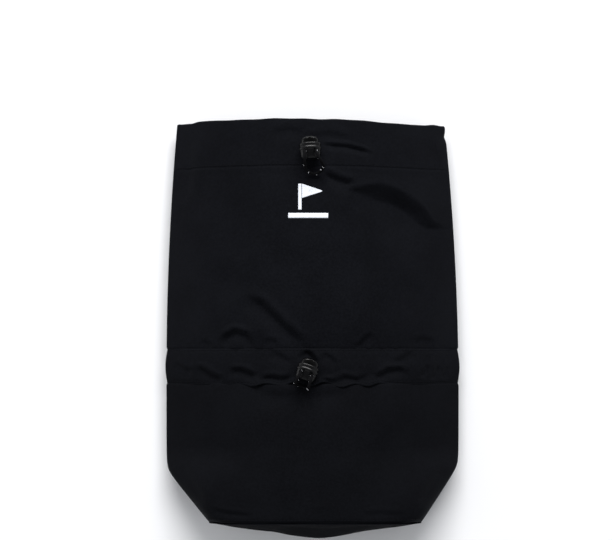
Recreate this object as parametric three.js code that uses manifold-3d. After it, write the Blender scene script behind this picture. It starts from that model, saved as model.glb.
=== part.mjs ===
// A drawstring shoe bag that lies on its back, filled out as it is around a pair of shoes.
// Millimetres. +X runs across the bag, +Y towards its mouth, +Z out of its front, and the floor is at Z = 0.
import * as THREE from 'three';
import { mergeVertices } from 'three/addons/utils/BufferGeometryUtils.js';
import Module from 'manifold-3d';

const wasm = await Module();
wasm.setup();

// Bag outline, seen from the front
const MOUTH_Y = 191;
const BASE_Y = -175;
const BASE_TIP_Y = -MOUTH_Y;
const WIDEST_Y = -60;
const HALF_WIDTH = 134.3;
const MOUTH_NARROWING = 12.8;
const CORNER_Y = -124;
const CORNER_SLOPE = 0.72;
const CORNER_ROUNDING = 6;

// Bag section, seen from an end
const CREST = 69;
const MOUTH_SAG = 4;
const MOUTH_SAG_FROM_Y = 90;
const SEAM_HEIGHT = 14;
const BASE_SEAM_HEIGHT = 35;
const BOXING_FROM_Y = -105;
const BASE_BOXING = 0.85;
const FRONT_POWER = 2.3;
const BOX_POWER = 0.444;
const FLAT_PART = 0.72;
const SIDE_GAIN = 1.7;

// Cloth, and the gap kept between pieces that touch
const CLOTH = 1;
const GAP = 0.35;
const ACROSS_STEPS = 16;

// Casings: a tunnel in each for the cord
const TUNNEL = 6.4;
const HEM_Y = 151.5;
const HEM_SLOPE = 7;
const FOLD_STEPS = 6;
const WAIST_TOP_Y = -17.5;
const WAIST_BOTTOM_Y = -49.5;
const WAIST_SEAM_Y = (WAIST_TOP_Y + WAIST_BOTTOM_Y) / 2;
const WAIST_LEAD = 4;
const WAIST_WIDE_DIP = 7;
const WAIST_WIDE_SPREAD = 26;
const WAIST_PUFF = 2.5;
const WAIST_PUFF_SPREAD = 10;

// Cords
const CORD_RADIUS = 1.4;
const CORD_SIDES = 8;
const CORD_INSET = 4.2;
const CORD_CORNER_PUSH = 0.5;
const STRAND_X = 5.2;
const HELD_CORD_STEPS = 60;
const HELD_FRONT_STATIONS = [0.3, 0.45, 0.6, 0.75, 0.88];
const HELD_BACK_STATIONS = [0.88, 0.72, 0.5, 0.25];
const HELD_LEAD = 8;
const LOOP_STEPS = 46;

// Eyelets and washers
const EYELET_BORE = 1.8;
const EYELET_BARREL = 2.25;
const EYELET_FLANGE = 3.8;
const EYELET_RISE = 0.9;
const EYELET_DEPTH = 2.2;
const WASHER_DEPTH = CLOTH + 2 * GAP;
const WASHER_THICKNESS = 0.4;
const ROUND_SIDES = 16;

// Seam bindings inside
const BINDING_WIDTH = 8;
const BINDING_THICKNESS = 1.2;
const BINDING_FROM_TIP = 2.4;
const BASE_BINDING_WIDTH = 9.5;
const BASE_BINDING_INSET = CLOTH + 1;

// Base panel: rings from near its middle to its rim, and how evenly it bulges
const BASE_RINGS = 5;
const BASE_INNER_SHARE = 0.04;
const BASE_BULGE_POWER = 1.7;

// Cord lock, along its own axis from the closed end to the button, with the strands crossing at 0
const LOCK_SIDES = 20;
const LOCK_RISE = 7.7;
const LOCK_FLOOR = -5.3;
const CAVITY_HALF_WIDTH = 8.3;
const CAVITY_HALF_DEPTH = 4.7;
const COLLAR_ARCH = 1.2;
const PLUNGER_BOTTOM = -2.7;
const PLUNGER_HALF_WIDTH = 7.9;
const PLUNGER_HALF_DEPTH = 4.3;
const PRESS_TRAVEL = 2.4;
const POCKET_RADIUS = 2.1;
const POCKET_TOP = 6;
const SPRING_RADIUS = 1.55;
const SPRING_WIRE = 0.25;
const SPRING_TURNS = 5;
const SPRING_STEPS = 35;
const SPRING_SIDES = 5;

// Levels of the barrel's and the plunger's ovals: how far along, half width, half depth and arch
const BARREL_LEVELS = [
  { at: -6.1, halfWide: 7.2, halfDeep: 4.5 },
  { at: -5.2, halfWide: 8.5, halfDeep: 5.4 },
  { at: -1, halfWide: 9.2, halfDeep: 5.9 },
  { at: 1.2, halfWide: 9.4, halfDeep: 5.9, arch: COLLAR_ARCH },
  { at: 1.7, halfWide: 10.1, halfDeep: 6.4, arch: COLLAR_ARCH },
  { at: 3.6, halfWide: 10.1, halfDeep: 6.4, arch: COLLAR_ARCH },
  { at: 4.1, halfWide: 9.5, halfDeep: 5.9, arch: COLLAR_ARCH },
  { at: 5, halfWide: 9.5, halfDeep: 5.9, arch: COLLAR_ARCH },
  { at: 5.4, halfWide: 9.9, halfDeep: 6.2, arch: COLLAR_ARCH },
  { at: 7, halfWide: 9.9, halfDeep: 6.2, arch: COLLAR_ARCH },
  { at: 7.4, halfWide: 9.5, halfDeep: 5.8, arch: COLLAR_ARCH },
];
const PLUNGER_LEVELS = [
  { at: PLUNGER_BOTTOM, halfWide: PLUNGER_HALF_WIDTH, halfDeep: PLUNGER_HALF_DEPTH },
  { at: 9.2, halfWide: PLUNGER_HALF_WIDTH, halfDeep: PLUNGER_HALF_DEPTH },
  { at: 10.8, halfWide: 7.7, halfDeep: 4.2 },
  { at: 12.6, halfWide: 6.6, halfDeep: 3.8 },
  { at: 13.7, halfWide: 4.6, halfDeep: 2.9 },
  { at: 14.2, halfWide: 2, halfDeep: 1.4 },
];

// Where the two locks sit on the front, and how far each is turned
const UPPER_LOCK = { x: -2, y: 159.5, turn: THREE.MathUtils.degToRad(3) };
const LOWER_LOCK = { x: -5.7, y: -40, turn: THREE.MathUtils.degToRad(-20) };

// The printed mark: a pennant on a pole above a plain bar
const MARK_X = -4;
const MARK_TOP_Y = 131;
const MARK_WIDTH = 36;
const MARK_HEIGHT = 31;
const MARK_STROKE = 3;
const INK_LIFT = 0.5;
const INK = 0.4;

const FRONT = 'front';
const BACK = 'back';

const materials = {
  cloth: { color: 0x15161b, roughness: 0.9, metalness: 0 },
  casing: { color: 0x17181d, roughness: 0.9, metalness: 0 },
  tape: { color: 0x101115, roughness: 0.95, metalness: 0 },
  cord: { color: 0x1c1c1f, roughness: 0.85, metalness: 0 },
  ink: { color: 0xe2e6ef, roughness: 0.5, metalness: 0 },
  plastic: { color: 0x121214, roughness: 0.35, metalness: 0 },
  eyelet: { color: 0x1a1a1c, roughness: 0.4, metalness: 0.8 },
  spring: { color: 0x9a9da2, roughness: 0.3, metalness: 1 },
};

const bag = new THREE.Group();

function addPiece(parent, name, geometry, material) {
  const mesh = new THREE.Mesh(geometry, new THREE.MeshStandardMaterial(materials[material]));
  mesh.name = name;
  parent.add(mesh);
  return mesh;
}

// ---- Closed solids from points and triangles -------------------------------------------------------------

function signedVolume(points, triangles) {
  let volume = 0;
  for (let i = 0; i < triangles.length; i += 3) {
    const [a, b, c] = [points[triangles[i]], points[triangles[i + 1]], points[triangles[i + 2]]];
    volume += a.dot(b.clone().cross(c)) / 6;
  }
  return volume;
}

function closedGeometry(points, triangles) {
  const outward = signedVolume(points, triangles) > 0 ? triangles : triangles.slice().reverse();
  const geometry = new THREE.BufferGeometry().setFromPoints(points);
  geometry.setIndex(outward);
  geometry.computeVertexNormals();
  return geometry;
}

// Joins rings of equal size, one after another, and closes both ends with the given triangles of a ring.
function joinRings(rings, endTriangles) {
  const size = rings[0].length;
  const triangles = [];
  for (let ring = 0; ring + 1 < rings.length; ring++) {
    for (let j = 0; j < size; j++) {
      const a = ring * size + j;
      const b = ring * size + ((j + 1) % size);
      triangles.push(a, b, b + size, a, b + size, a + size);
    }
  }
  const last = (rings.length - 1) * size;
  for (const [a, b, c] of endTriangles) {
    triangles.push(c, b, a, last + a, last + b, last + c);
  }
  return closedGeometry(rings.flat(), triangles);
}

// Fills a sheet's outline, whose second half comes back along the first, with a row of narrow quads.
function stripTriangles(count) {
  const quads = Array.from({ length: count / 2 - 1 }, (_, i) => [i, i + 1, count - 2 - i, count - 1 - i]);
  return quads.flatMap(([a, b, c, d]) => [[a, b, c], [a, c, d]]);
}

function fanTriangles(count) {
  return Array.from({ length: count - 2 }, (_, i) => [0, i + 1, i + 2]);
}

// A flat grid of boxes, one cell thick, whose every corner is placed by a function of (across, along, depth).
function mappedSheet(acrossSteps, alongSteps, place) {
  const geometry = new THREE.BoxGeometry(1, 1, 1, acrossSteps, alongSteps, 1);
  const position = geometry.attributes.position;
  for (let i = 0; i < position.count; i++) {
    const point = place(position.getX(i) + 0.5, position.getY(i) + 0.5, position.getZ(i) + 0.5);
    position.setXYZ(i, point.x, point.y, point.z);
  }
  geometry.computeVertexNormals();
  return geometry;
}

function toManifold(geometry) {
  const bare = geometry.clone();
  bare.deleteAttribute('normal');
  bare.deleteAttribute('uv');
  const merged = mergeVertices(bare);
  return new wasm.Manifold(new wasm.Mesh({
    numProp: 3,
    vertProperties: new Float32Array(merged.attributes.position.array),
    triVerts: new Uint32Array(merged.index.array),
  }));
}

function cutAway(geometry, tools) {
  let solid = toManifold(geometry);
  for (const tool of tools) {
    solid = solid.subtract(toManifold(tool));
  }
  const mesh = solid.getMesh();
  const result = new THREE.BufferGeometry();
  result.setAttribute('position', new THREE.BufferAttribute(new Float32Array(mesh.vertProperties), 3));
  result.setIndex(new THREE.BufferAttribute(new Uint32Array(mesh.triVerts), 1));
  result.computeVertexNormals();
  return result;
}

// ---- The bag's shape ------------------------------------------------------------------------------------

function bell(distance, spread) {
  return Math.exp(-((distance / spread) ** 2));
}

// Half the bag's width at y: widest below the waist, a little narrower at the mouth, slanted in at the base.
function halfWidth(y) {
  const towardsMouth = Math.max(0, (y - WIDEST_Y) / (MOUTH_Y - WIDEST_Y));
  const pastCorner = CORNER_Y - y;
  const slant = CORNER_SLOPE * (pastCorner + Math.hypot(pastCorner, CORNER_ROUNDING)) / 2;
  return HALF_WIDTH - MOUTH_NARROWING * towardsMouth ** 2 - slant;
}

// Height of the front at the bag's centre line: it sags a little at the mouth and is drawn in at the waist.
function crestHeight(y) {
  const towardsMouth = Math.max(0, (y - MOUTH_SAG_FROM_Y) / (MOUTH_Y - MOUTH_SAG_FROM_Y));
  const fromWaist = y - WAIST_SEAM_Y;
  const dip = WAIST_WIDE_DIP * bell(fromWaist, WAIST_WIDE_SPREAD);
  const puff = WAIST_PUFF * bell(fromWaist, WAIST_PUFF_SPREAD);
  return CREST - MOUTH_SAG * towardsMouth ** 2 - dip + puff;
}

function baseNearness(y) {
  return THREE.MathUtils.smoothstep(-y, -BOXING_FROM_Y, -BASE_Y);
}

function seamHeight(y) {
  return THREE.MathUtils.lerp(SEAM_HEIGHT, BASE_SEAM_HEIGHT, baseNearness(y));
}

// A point of the front or back cloth. across runs from -1 at the left seam to 1 at the right seam, and inset
// is how far the point lies inside the bag's outer surface. The section is a lens, and boxed near the base.
function clothPoint(side, across, y, inset) {
  const reach = halfWidth(y) - SIDE_GAIN * inset;
  const out = Math.abs(across);
  const turn = (1 - out) * Math.PI / 2;
  const boxing = BASE_BOXING * baseNearness(y);
  const boxedRise = Math.sin(turn) ** BOX_POWER;
  const x = Math.sign(across) * reach * THREE.MathUtils.lerp(out, Math.cos(turn) ** BOX_POWER, boxing);
  if (side === FRONT) {
    const seam = seamHeight(y) + GAP / 2;
    const rise = THREE.MathUtils.lerp(1 - out ** FRONT_POWER, boxedRise, boxing);
    return new THREE.Vector3(x, y, seam + (crestHeight(y) - inset - seam) * rise);
  }
  const seam = seamHeight(y) - GAP / 2;
  const lens = Math.max(0, (out - FLAT_PART) / (1 - FLAT_PART)) ** 2;
  const climb = THREE.MathUtils.lerp(lens, 1 - boxedRise, boxing);
  return new THREE.Vector3(x, y, inset + (seam - inset) * climb);
}

function frontHeight(x, y) {
  return clothPoint(FRONT, x / halfWidth(y), y, 0).z;
}

// Sweeps a closed outline of [y, inset] points from the left seam to the right seam.
function sweptCloth(side, outline) {
  const rings = [];
  for (let i = 0; i <= ACROSS_STEPS; i++) {
    const across = 2 * i / ACROSS_STEPS - 1;
    rings.push(outline.map(([y, inset]) => clothPoint(side, across, y, inset)));
  }
  return joinRings(rings, stripTriangles(outline.length));
}

// A sheet's closed outline from its outer face: the inner face is the same, one cloth deeper.
function sheetOutline(outerFace, thickness = CLOTH) {
  const innerFace = outerFace.map(([y, inset]) => [y, inset + thickness]);
  return [...outerFace, ...innerFace.reverse()];
}

function evenSteps(from, to, count) {
  return Array.from({ length: count + 1 }, (_, i) => THREE.MathUtils.lerp(from, to, i / count));
}

// ---- Panels and casings -----------------------------------------------------------------------------------

// Under the waist casing the panels lie deeper, to leave the cord its tunnel. From the edge to the middle.
function waistDip(edgeY, direction) {
  return [
    [edgeY + WAIST_LEAD * direction, 0],
    [edgeY, CLOTH + GAP],
    [edgeY - WAIST_LEAD * direction, TUNNEL - CLOTH],
    [edgeY - 2 * WAIST_LEAD * direction, TUNNEL],
    [WAIST_SEAM_Y + direction * GAP / 2, TUNNEL],
  ];
}

function upperPlain() {
  const foldY = MOUTH_Y - (TUNNEL + CLOTH) / 2;
  return evenSteps(WAIST_TOP_Y + WAIST_LEAD, foldY, 8).slice(1).map((y) => [y, 0]);
}

function lowerPlain() {
  return evenSteps(WAIST_BOTTOM_Y - WAIST_LEAD, BASE_Y, 9).slice(1).map((y) => [y, 0]);
}

// The upper panel runs from the waist seam to the mouth, turns in there and comes back down as the hem.
function upperOutline() {
  const foldRadius = (TUNNEL + CLOTH) / 2;
  const foldY = MOUTH_Y - foldRadius;
  const rise = waistDip(WAIST_TOP_Y, 1).reverse();
  const plain = upperPlain().slice(0, -1);
  const fold = (radius) => evenSteps(0, Math.PI, FOLD_STEPS).map((angle) => [
    foldY + radius * Math.sin(angle),
    foldRadius - radius * Math.cos(angle),
  ]);
  const hem = (depth) => [[HEM_Y + HEM_SLOPE, TUNNEL + depth], [HEM_Y, CLOTH + GAP + depth]];
  const outerFace = [...rise, ...plain, ...fold(foldRadius), ...hem(CLOTH)];
  const deeper = ([y, inset]) => [y, inset + CLOTH];
  const innerFace = [...rise.map(deeper), ...plain.map(deeper), ...fold(foldRadius - CLOTH), ...hem(0)];
  return [...outerFace, ...innerFace.reverse()];
}

function lowerOutline() {
  const dip = waistDip(WAIST_BOTTOM_Y, -1).reverse();
  return sheetOutline([...dip, ...lowerPlain()]);
}

function waistCasingOutline() {
  return sheetOutline(evenSteps(WAIST_TOP_Y, WAIST_BOTTOM_Y, 8).map((y) => [y, 0]));
}

// The cloth is punched where each strand of a lock's cord comes out.
function strandHoles(lock) {
  return [-STRAND_X, STRAND_X].map((strandX) => {
    const cylinder = new THREE.CylinderGeometry(
      EYELET_BARREL + GAP, EYELET_BARREL + GAP, 2 * (CLOTH + GAP), ROUND_SIDES);
    cylinder.rotateX(Math.PI / 2);
    cylinder.translate(strandX, 0, -CLOTH / 2);
    cylinder.rotateZ(lock.turn);
    return cylinder.translate(lock.x, lock.y, frontHeight(lock.x, lock.y));
  });
}

function addPanels() {
  const upperFront = cutAway(sweptCloth(FRONT, upperOutline()), strandHoles(UPPER_LOCK));
  const waistFront = cutAway(sweptCloth(FRONT, waistCasingOutline()), strandHoles(LOWER_LOCK));
  addPiece(bag, 'front_upper_panel', upperFront, 'cloth');
  addPiece(bag, 'back_upper_panel', sweptCloth(BACK, upperOutline()), 'cloth');
  addPiece(bag, 'front_lower_panel', sweptCloth(FRONT, lowerOutline()), 'cloth');
  addPiece(bag, 'back_lower_panel', sweptCloth(BACK, lowerOutline()), 'cloth');
  addPiece(bag, 'mid_casing_front', waistFront, 'casing');
  addPiece(bag, 'mid_casing_back', sweptCloth(BACK, waistCasingOutline()), 'casing');
}

// The base is one panel sewn into the bag's end, and it bulges out to a blunt point.
function addBasePanel() {
  const bulge = BASE_Y - GAP - CLOTH - BASE_TIP_Y;
  const rim = [];
  for (let i = 0; i < ACROSS_STEPS; i++) {
    rim.push(clothPoint(FRONT, 2 * i / ACROSS_STEPS - 1, BASE_Y, 0));
  }
  for (let i = 0; i < ACROSS_STEPS; i++) {
    rim.push(clothPoint(BACK, 1 - 2 * i / ACROSS_STEPS, BASE_Y, 0));
  }
  const centre = new THREE.Vector3(0, BASE_Y, crestHeight(BASE_Y) / 2);
  const ringAt = (share, depth) => rim.map((point) => {
    const placed = centre.clone().lerp(point, share);
    placed.y = BASE_Y - GAP - depth - bulge * (1 - share ** BASE_BULGE_POWER);
    return placed;
  });
  const shares = evenSteps(BASE_INNER_SHARE, 1, BASE_RINGS);
  const outer = shares.map((share) => ringAt(share, CLOTH));
  const inner = shares.map((share) => ringAt(share, 0)).reverse();
  addPiece(bag, 'base_panel', joinRings([...outer, ...inner], fanTriangles(rim.length)), 'cloth');
}

// ---- Seam bindings inside -------------------------------------------------------------------------------

// The side bindings follow the panels' edges, [y, inset] by [y, inset], from near the base up to the hem.
function panelEdge() {
  const lower = [...lowerPlain().reverse().slice(1), ...waistDip(WAIST_BOTTOM_Y, -1)];
  const upper = [...waistDip(WAIST_TOP_Y, 1).reverse(), ...upperPlain().filter(([y]) => y < HEM_Y)];
  return [...lower, ...upper];
}

function sideBinding(side) {
  const stations = panelEdge();
  const steps = stations.length - 1;
  return mappedSheet(1, steps, (across, along, depth) => {
    const [y, inset] = stations[Math.round(along * steps)];
    const seamX = halfWidth(y) - SIDE_GAIN * (inset + CLOTH);
    const x = side * (seamX - BINDING_FROM_TIP - BINDING_WIDTH * across);
    const flip = side > 0 ? depth - 0.5 : 0.5 - depth;
    return new THREE.Vector3(x, y, seamHeight(y) - flip * BINDING_THICKNESS);
  });
}

function addBindings() {
  addPiece(bag, 'left_side_binding', sideBinding(-1), 'tape');
  addPiece(bag, 'right_side_binding', sideBinding(1), 'tape');
  const tape = [[BASE_Y + GAP, BASE_BINDING_INSET], [BASE_Y + BASE_BINDING_WIDTH, BASE_BINDING_INSET]];
  const outline = sheetOutline(tape, BINDING_THICKNESS);
  addPiece(bag, 'base_binding_front', sweptCloth(FRONT, outline), 'tape');
  addPiece(bag, 'base_binding_back', sweptCloth(BACK, outline), 'tape');
}

// ---- Cords ----------------------------------------------------------------------------------------------

function smoothPath(points) {
  return new THREE.CatmullRomCurve3(points, false, 'centripetal');
}

function roundTube(path, radius, sides, steps) {
  const corners = Array.from({ length: sides }, (_, i) => {
    const angle = 2 * Math.PI * i / sides;
    return new THREE.Vector2(radius * Math.cos(angle), radius * Math.sin(angle));
  });
  const section = new THREE.Shape(corners);
  return new THREE.ExtrudeGeometry(section, { extrudePath: path, steps, bevelEnabled: false });
}

// A held cord starts beside one strand of its lock and runs round the bag inside its casing to the other.
function heldCordPath(lock) {
  const startOut = STRAND_X * Math.cos(lock.turn) + CORD_RADIUS + 2 * GAP;
  const spread = STRAND_X * Math.sin(lock.turn);
  const ends = [-1, 1].map((hand) => ({ hand, x: lock.x + hand * startOut, y: lock.y + hand * spread }));
  const reach = halfWidth(lock.y);
  const half = ({ hand, x, y }) => {
    const near = [0, HELD_LEAD].map((along) => clothPoint(FRONT, (x + hand * along) / reach, y, CORD_INSET));
    const front = HELD_FRONT_STATIONS.map((out) => clothPoint(FRONT, hand * out, lock.y, CORD_INSET));
    const corner = clothPoint(FRONT, hand, lock.y, CORD_INSET);
    corner.x += hand * CORD_CORNER_PUSH;
    const back = HELD_BACK_STATIONS.map((out) => clothPoint(BACK, hand * out, lock.y, CORD_INSET));
    return [...near, ...front, corner, ...back];
  };
  const [left, right] = ends.map(half);
  const middle = clothPoint(BACK, 0, lock.y, CORD_INSET);
  return smoothPath([...left, middle, ...right.reverse()]);
}

// Free loops, in their lock's frame: out through the cloth and the lock, over, and down onto the cloth.
// Each loop's two strands share their straight start, mirrored, and meet at the tip.
const STRAND_START = [-4.6, 3, 8, 13, 18].map((z) => [STRAND_X, 0, z]);
const MOUTH_LOOP = {
  right: [
    [5.3, -0.8, 21.1], [5.8, -3.1, 23.4], [7, -6.2, 24.2], [8.6, -9.2, 23.3], [9.9, -11.6, 20.9],
    [10.8, -13, 17.4], [11.1, -14, 13.6], [10.8, -15.1, 10], [9.5, -16.8, 6.9], [6.8, -18.8, 4.6],
  ],
  left: [
    [-5.3, -0.8, 21.1], [-5.4, -3.1, 23.4], [-5.6, -6.2, 24.2], [-5.7, -9.2, 23.3], [-5.7, -11.6, 20.9],
    [-5.7, -12.9, 17.4], [-5.6, -13.7, 13.6], [-5.2, -14.8, 10], [-3.9, -16.7, 6.7], [-1.2, -18.9, 4.4],
  ],
  tip: [2.7, -20, 3.5],
};
const MID_LOOP_RIGHT = [
  [5.3, -0.8, 21], [5.5, -3, 23.2], [5.8, -6, 24], [6, -9, 23.2], [6.2, -11.2, 21],
  [6.2, -12, 18], [6.2, -12.2, 13.8], [6.2, -12.3, 9.6], [5.4, -12.4, 6.5], [3.1, -12.5, 4.2],
];
const MID_LOOP = {
  right: MID_LOOP_RIGHT,
  left: MID_LOOP_RIGHT.map(([x, y, z]) => [-x, y, z]),
  tip: [0, -12.5, 3.4],
};

function loopPath({ left, right, tip }) {
  const leftStart = STRAND_START.map(([x, y, z]) => [-x, y, z]);
  const whole = [...leftStart, ...left, tip, ...right.slice().reverse(), ...STRAND_START.slice().reverse()];
  return smoothPath(whole.map(([x, y, z]) => new THREE.Vector3(x, y, z)));
}

// ---- Eyelets and cord locks -----------------------------------------------------------------------------

function ringLathe(outline) {
  const points = [...outline, outline[0]].map(([radius, height]) => new THREE.Vector2(radius, height));
  return new THREE.LatheGeometry(points, ROUND_SIDES).rotateX(Math.PI / 2);
}

function eyeletGeometry() {
  return ringLathe([
    [EYELET_BORE, -EYELET_DEPTH], [EYELET_BARREL, -EYELET_DEPTH], [EYELET_BARREL, GAP],
    [EYELET_FLANGE, GAP], [EYELET_FLANGE, EYELET_RISE / 2 + GAP / 2], [EYELET_FLANGE - GAP, EYELET_RISE],
    [EYELET_BORE + GAP, EYELET_RISE], [EYELET_BORE, EYELET_RISE / 2],
  ]);
}

function washerGeometry() {
  const top = -WASHER_DEPTH;
  const bottom = top - WASHER_THICKNESS;
  const bore = EYELET_BARREL + GAP;
  return ringLathe([[bore, bottom], [EYELET_FLANGE, bottom], [EYELET_FLANGE, top], [bore, top]]);
}

// A solid of oval rings along the lock's axis. arch lifts a ring's middle above its two sides.
function ovalStack(levels) {
  const rings = levels.map(({ at, halfWide, halfDeep, arch = 0 }) => {
    return Array.from({ length: LOCK_SIDES }, (_, i) => {
      const angle = 2 * Math.PI * i / LOCK_SIDES;
      const lift = arch * Math.sin(angle) ** 2;
      return new THREE.Vector3(halfWide * Math.cos(angle), at + lift, LOCK_RISE + halfDeep * Math.sin(angle));
    });
  });
  return joinRings(rings, fanTriangles(LOCK_SIDES));
}

// A barrel closed at one end, with a double collar around its mouth and a hole each side for the two strands.
function barrelGeometry() {
  const cavity = ovalStack([
    { at: LOCK_FLOOR, halfWide: CAVITY_HALF_WIDTH, halfDeep: CAVITY_HALF_DEPTH },
    { at: 2 * POCKET_TOP, halfWide: CAVITY_HALF_WIDTH, halfDeep: CAVITY_HALF_DEPTH },
  ]);
  const holes = [-STRAND_X, STRAND_X].map((x) => {
    const hole = new THREE.CylinderGeometry(EYELET_BORE, EYELET_BORE, 4 * CAVITY_HALF_DEPTH, ROUND_SIDES);
    return hole.rotateX(Math.PI / 2).translate(x, 0, LOCK_RISE);
  });
  return cutAway(ovalStack(BARREL_LEVELS), [cavity, ...holes]);
}

// The plunger's slots let both strands through, at rest and pressed, and its pocket holds the spring.
function plungerGeometry() {
  const slotHalf = EYELET_BORE;
  const slotLength = 2 * slotHalf + PRESS_TRAVEL;
  const slots = [-STRAND_X, STRAND_X].map((x) => {
    const slot = new THREE.BoxGeometry(2 * slotHalf, slotLength, 4 * PLUNGER_HALF_DEPTH);
    return slot.translate(x, PRESS_TRAVEL / 2, LOCK_RISE);
  });
  const pocketLength = POCKET_TOP - PLUNGER_BOTTOM + 1;
  const pocket = new THREE.CylinderGeometry(POCKET_RADIUS, POCKET_RADIUS, pocketLength, ROUND_SIDES);
  pocket.translate(0, POCKET_TOP - pocketLength / 2, LOCK_RISE);
  return cutAway(ovalStack(PLUNGER_LEVELS), [...slots, pocket]);
}

class Helix extends THREE.Curve {
  getPoint(t) {
    const angle = 2 * Math.PI * SPRING_TURNS * t;
    const bottom = LOCK_FLOOR + 2 * SPRING_WIRE;
    const at = THREE.MathUtils.lerp(bottom, POCKET_TOP - 2 * SPRING_WIRE, t);
    const rise = LOCK_RISE + SPRING_RADIUS * Math.sin(angle);
    return new THREE.Vector3(SPRING_RADIUS * Math.cos(angle), at, rise);
  }
}

function addLock(place, prefix, cordName, loop) {
  const lock = new THREE.Group();
  lock.position.set(place.x, place.y, frontHeight(place.x, place.y));
  lock.rotation.z = place.turn;
  bag.add(lock);
  for (const [hand, x] of [['left', -STRAND_X], ['right', STRAND_X]]) {
    addPiece(lock, `${prefix}_eyelet_${hand}`, eyeletGeometry(), 'eyelet').position.x = x;
    addPiece(lock, `${prefix}_washer_${hand}`, washerGeometry(), 'eyelet').position.x = x;
  }
  addPiece(lock, `${prefix}_lock_barrel`, barrelGeometry(), 'plastic');
  addPiece(lock, `${prefix}_lock_plunger`, plungerGeometry(), 'plastic');
  const spring = roundTube(new Helix(), SPRING_WIRE, SPRING_SIDES, SPRING_STEPS);
  addPiece(lock, `${prefix}_lock_spring`, spring, 'spring');
  const free = roundTube(loopPath(loop), CORD_RADIUS, CORD_SIDES, LOOP_STEPS);
  addPiece(lock, `${cordName}_loop`, free, 'cord');
  const held = roundTube(heldCordPath(place), CORD_RADIUS, CORD_SIDES, HELD_CORD_STEPS);
  addPiece(bag, `${cordName}_drawcord`, held, 'cord');
}

// ---- Printed mark ---------------------------------------------------------------------------------------

// A patch of ink on the front, from two edges given as functions of the share along it.
function inkPatch(acrossSteps, alongSteps, place) {
  return mappedSheet(acrossSteps, alongSteps, (across, along, depth) => {
    const [x, y] = place(across, along);
    return new THREE.Vector3(x, y, frontHeight(x, y) + INK_LIFT + INK * depth);
  });
}

function addMark() {
  const left = MARK_X - MARK_WIDTH / 2;
  const barTop = MARK_TOP_Y - MARK_HEIGHT + MARK_STROKE * 1.5;
  const poleX = MARK_X - MARK_WIDTH / 6;
  const poleBottom = barTop + MARK_STROKE;
  const pennantLength = MARK_WIDTH / 2;
  const pennantDrop = MARK_HEIGHT * 0.42;
  const tipHalf = 0.5;
  const pennantMiddle = MARK_TOP_Y - pennantDrop / 2;
  const bar = inkPatch(12, 1, (a, b) => [left + MARK_WIDTH * a, barTop - MARK_STROKE * 1.5 * (1 - b)]);
  const pole = inkPatch(1, 4, (a, b) => [
    poleX - MARK_STROKE * (1 - a),
    THREE.MathUtils.lerp(poleBottom, MARK_TOP_Y, b),
  ]);
  const pennant = inkPatch(6, 2, (a, b) => [
    poleX + GAP + pennantLength * a,
    pennantMiddle + (2 * b - 1) * THREE.MathUtils.lerp(pennantDrop / 2, tipHalf, a),
  ]);
  addPiece(bag, 'mark_bar', bar, 'ink');
  addPiece(bag, 'mark_pole', pole, 'ink');
  addPiece(bag, 'mark_pennant', pennant, 'ink');
}

addPanels();
addBasePanel();
addBindings();
addLock(UPPER_LOCK, 'mouth', 'mouth_cord', MOUTH_LOOP);
addLock(LOWER_LOCK, 'mid', 'mid_cord', MID_LOOP);
addMark();

export default bag;
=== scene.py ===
"""A drawstring golf shoe bag on its back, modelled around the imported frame.

Lengths are millimetres, in the frame's axes, until a mesh is made: +X across the bag, +Y towards its mouth
and +Z out of its front.
"""
import math

import bmesh
import bpy
import numpy as np
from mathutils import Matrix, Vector


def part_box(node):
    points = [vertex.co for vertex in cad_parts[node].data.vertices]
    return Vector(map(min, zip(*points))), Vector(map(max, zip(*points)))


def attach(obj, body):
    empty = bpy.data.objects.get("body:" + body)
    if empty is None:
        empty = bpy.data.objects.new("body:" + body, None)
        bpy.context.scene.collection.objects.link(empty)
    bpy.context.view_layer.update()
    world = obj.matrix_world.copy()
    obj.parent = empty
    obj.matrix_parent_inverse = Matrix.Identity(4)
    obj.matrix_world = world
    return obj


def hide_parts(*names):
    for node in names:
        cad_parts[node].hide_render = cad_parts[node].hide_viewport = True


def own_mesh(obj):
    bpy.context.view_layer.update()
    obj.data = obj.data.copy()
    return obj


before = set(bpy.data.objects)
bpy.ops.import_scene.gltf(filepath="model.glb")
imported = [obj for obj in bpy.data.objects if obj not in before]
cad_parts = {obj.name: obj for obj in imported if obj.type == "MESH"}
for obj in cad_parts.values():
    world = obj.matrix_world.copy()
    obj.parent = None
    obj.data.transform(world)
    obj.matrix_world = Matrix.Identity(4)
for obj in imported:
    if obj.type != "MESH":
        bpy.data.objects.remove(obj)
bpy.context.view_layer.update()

MM = 0.001
FRONT = 1
BACK = -1
SIDES = ((FRONT, "front"), (BACK, "back"))


def low(node):
    return np.array(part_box(node)[0]) / MM


def high(node):
    return np.array(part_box(node)[1]) / MM


def centre(node):
    return (low(node) + high(node)) / 2


# ---- Sizes of the bag, from the frame where it has them ----

MOUTH_Y = high("front_upper_panel")[1]
BASE_Y = low("front_lower_panel")[1]
BASE_TIP_Y = low("base_panel")[1]
WAIST_TOP_Y = high("mid_casing_front")[1]
WAIST_BOTTOM_Y = low("mid_casing_front")[1]
WAIST_Y = (WAIST_TOP_Y + WAIST_BOTTOM_Y) / 2
HEM_Y = 147.5
CREST = high("front_upper_panel")[2]

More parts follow.
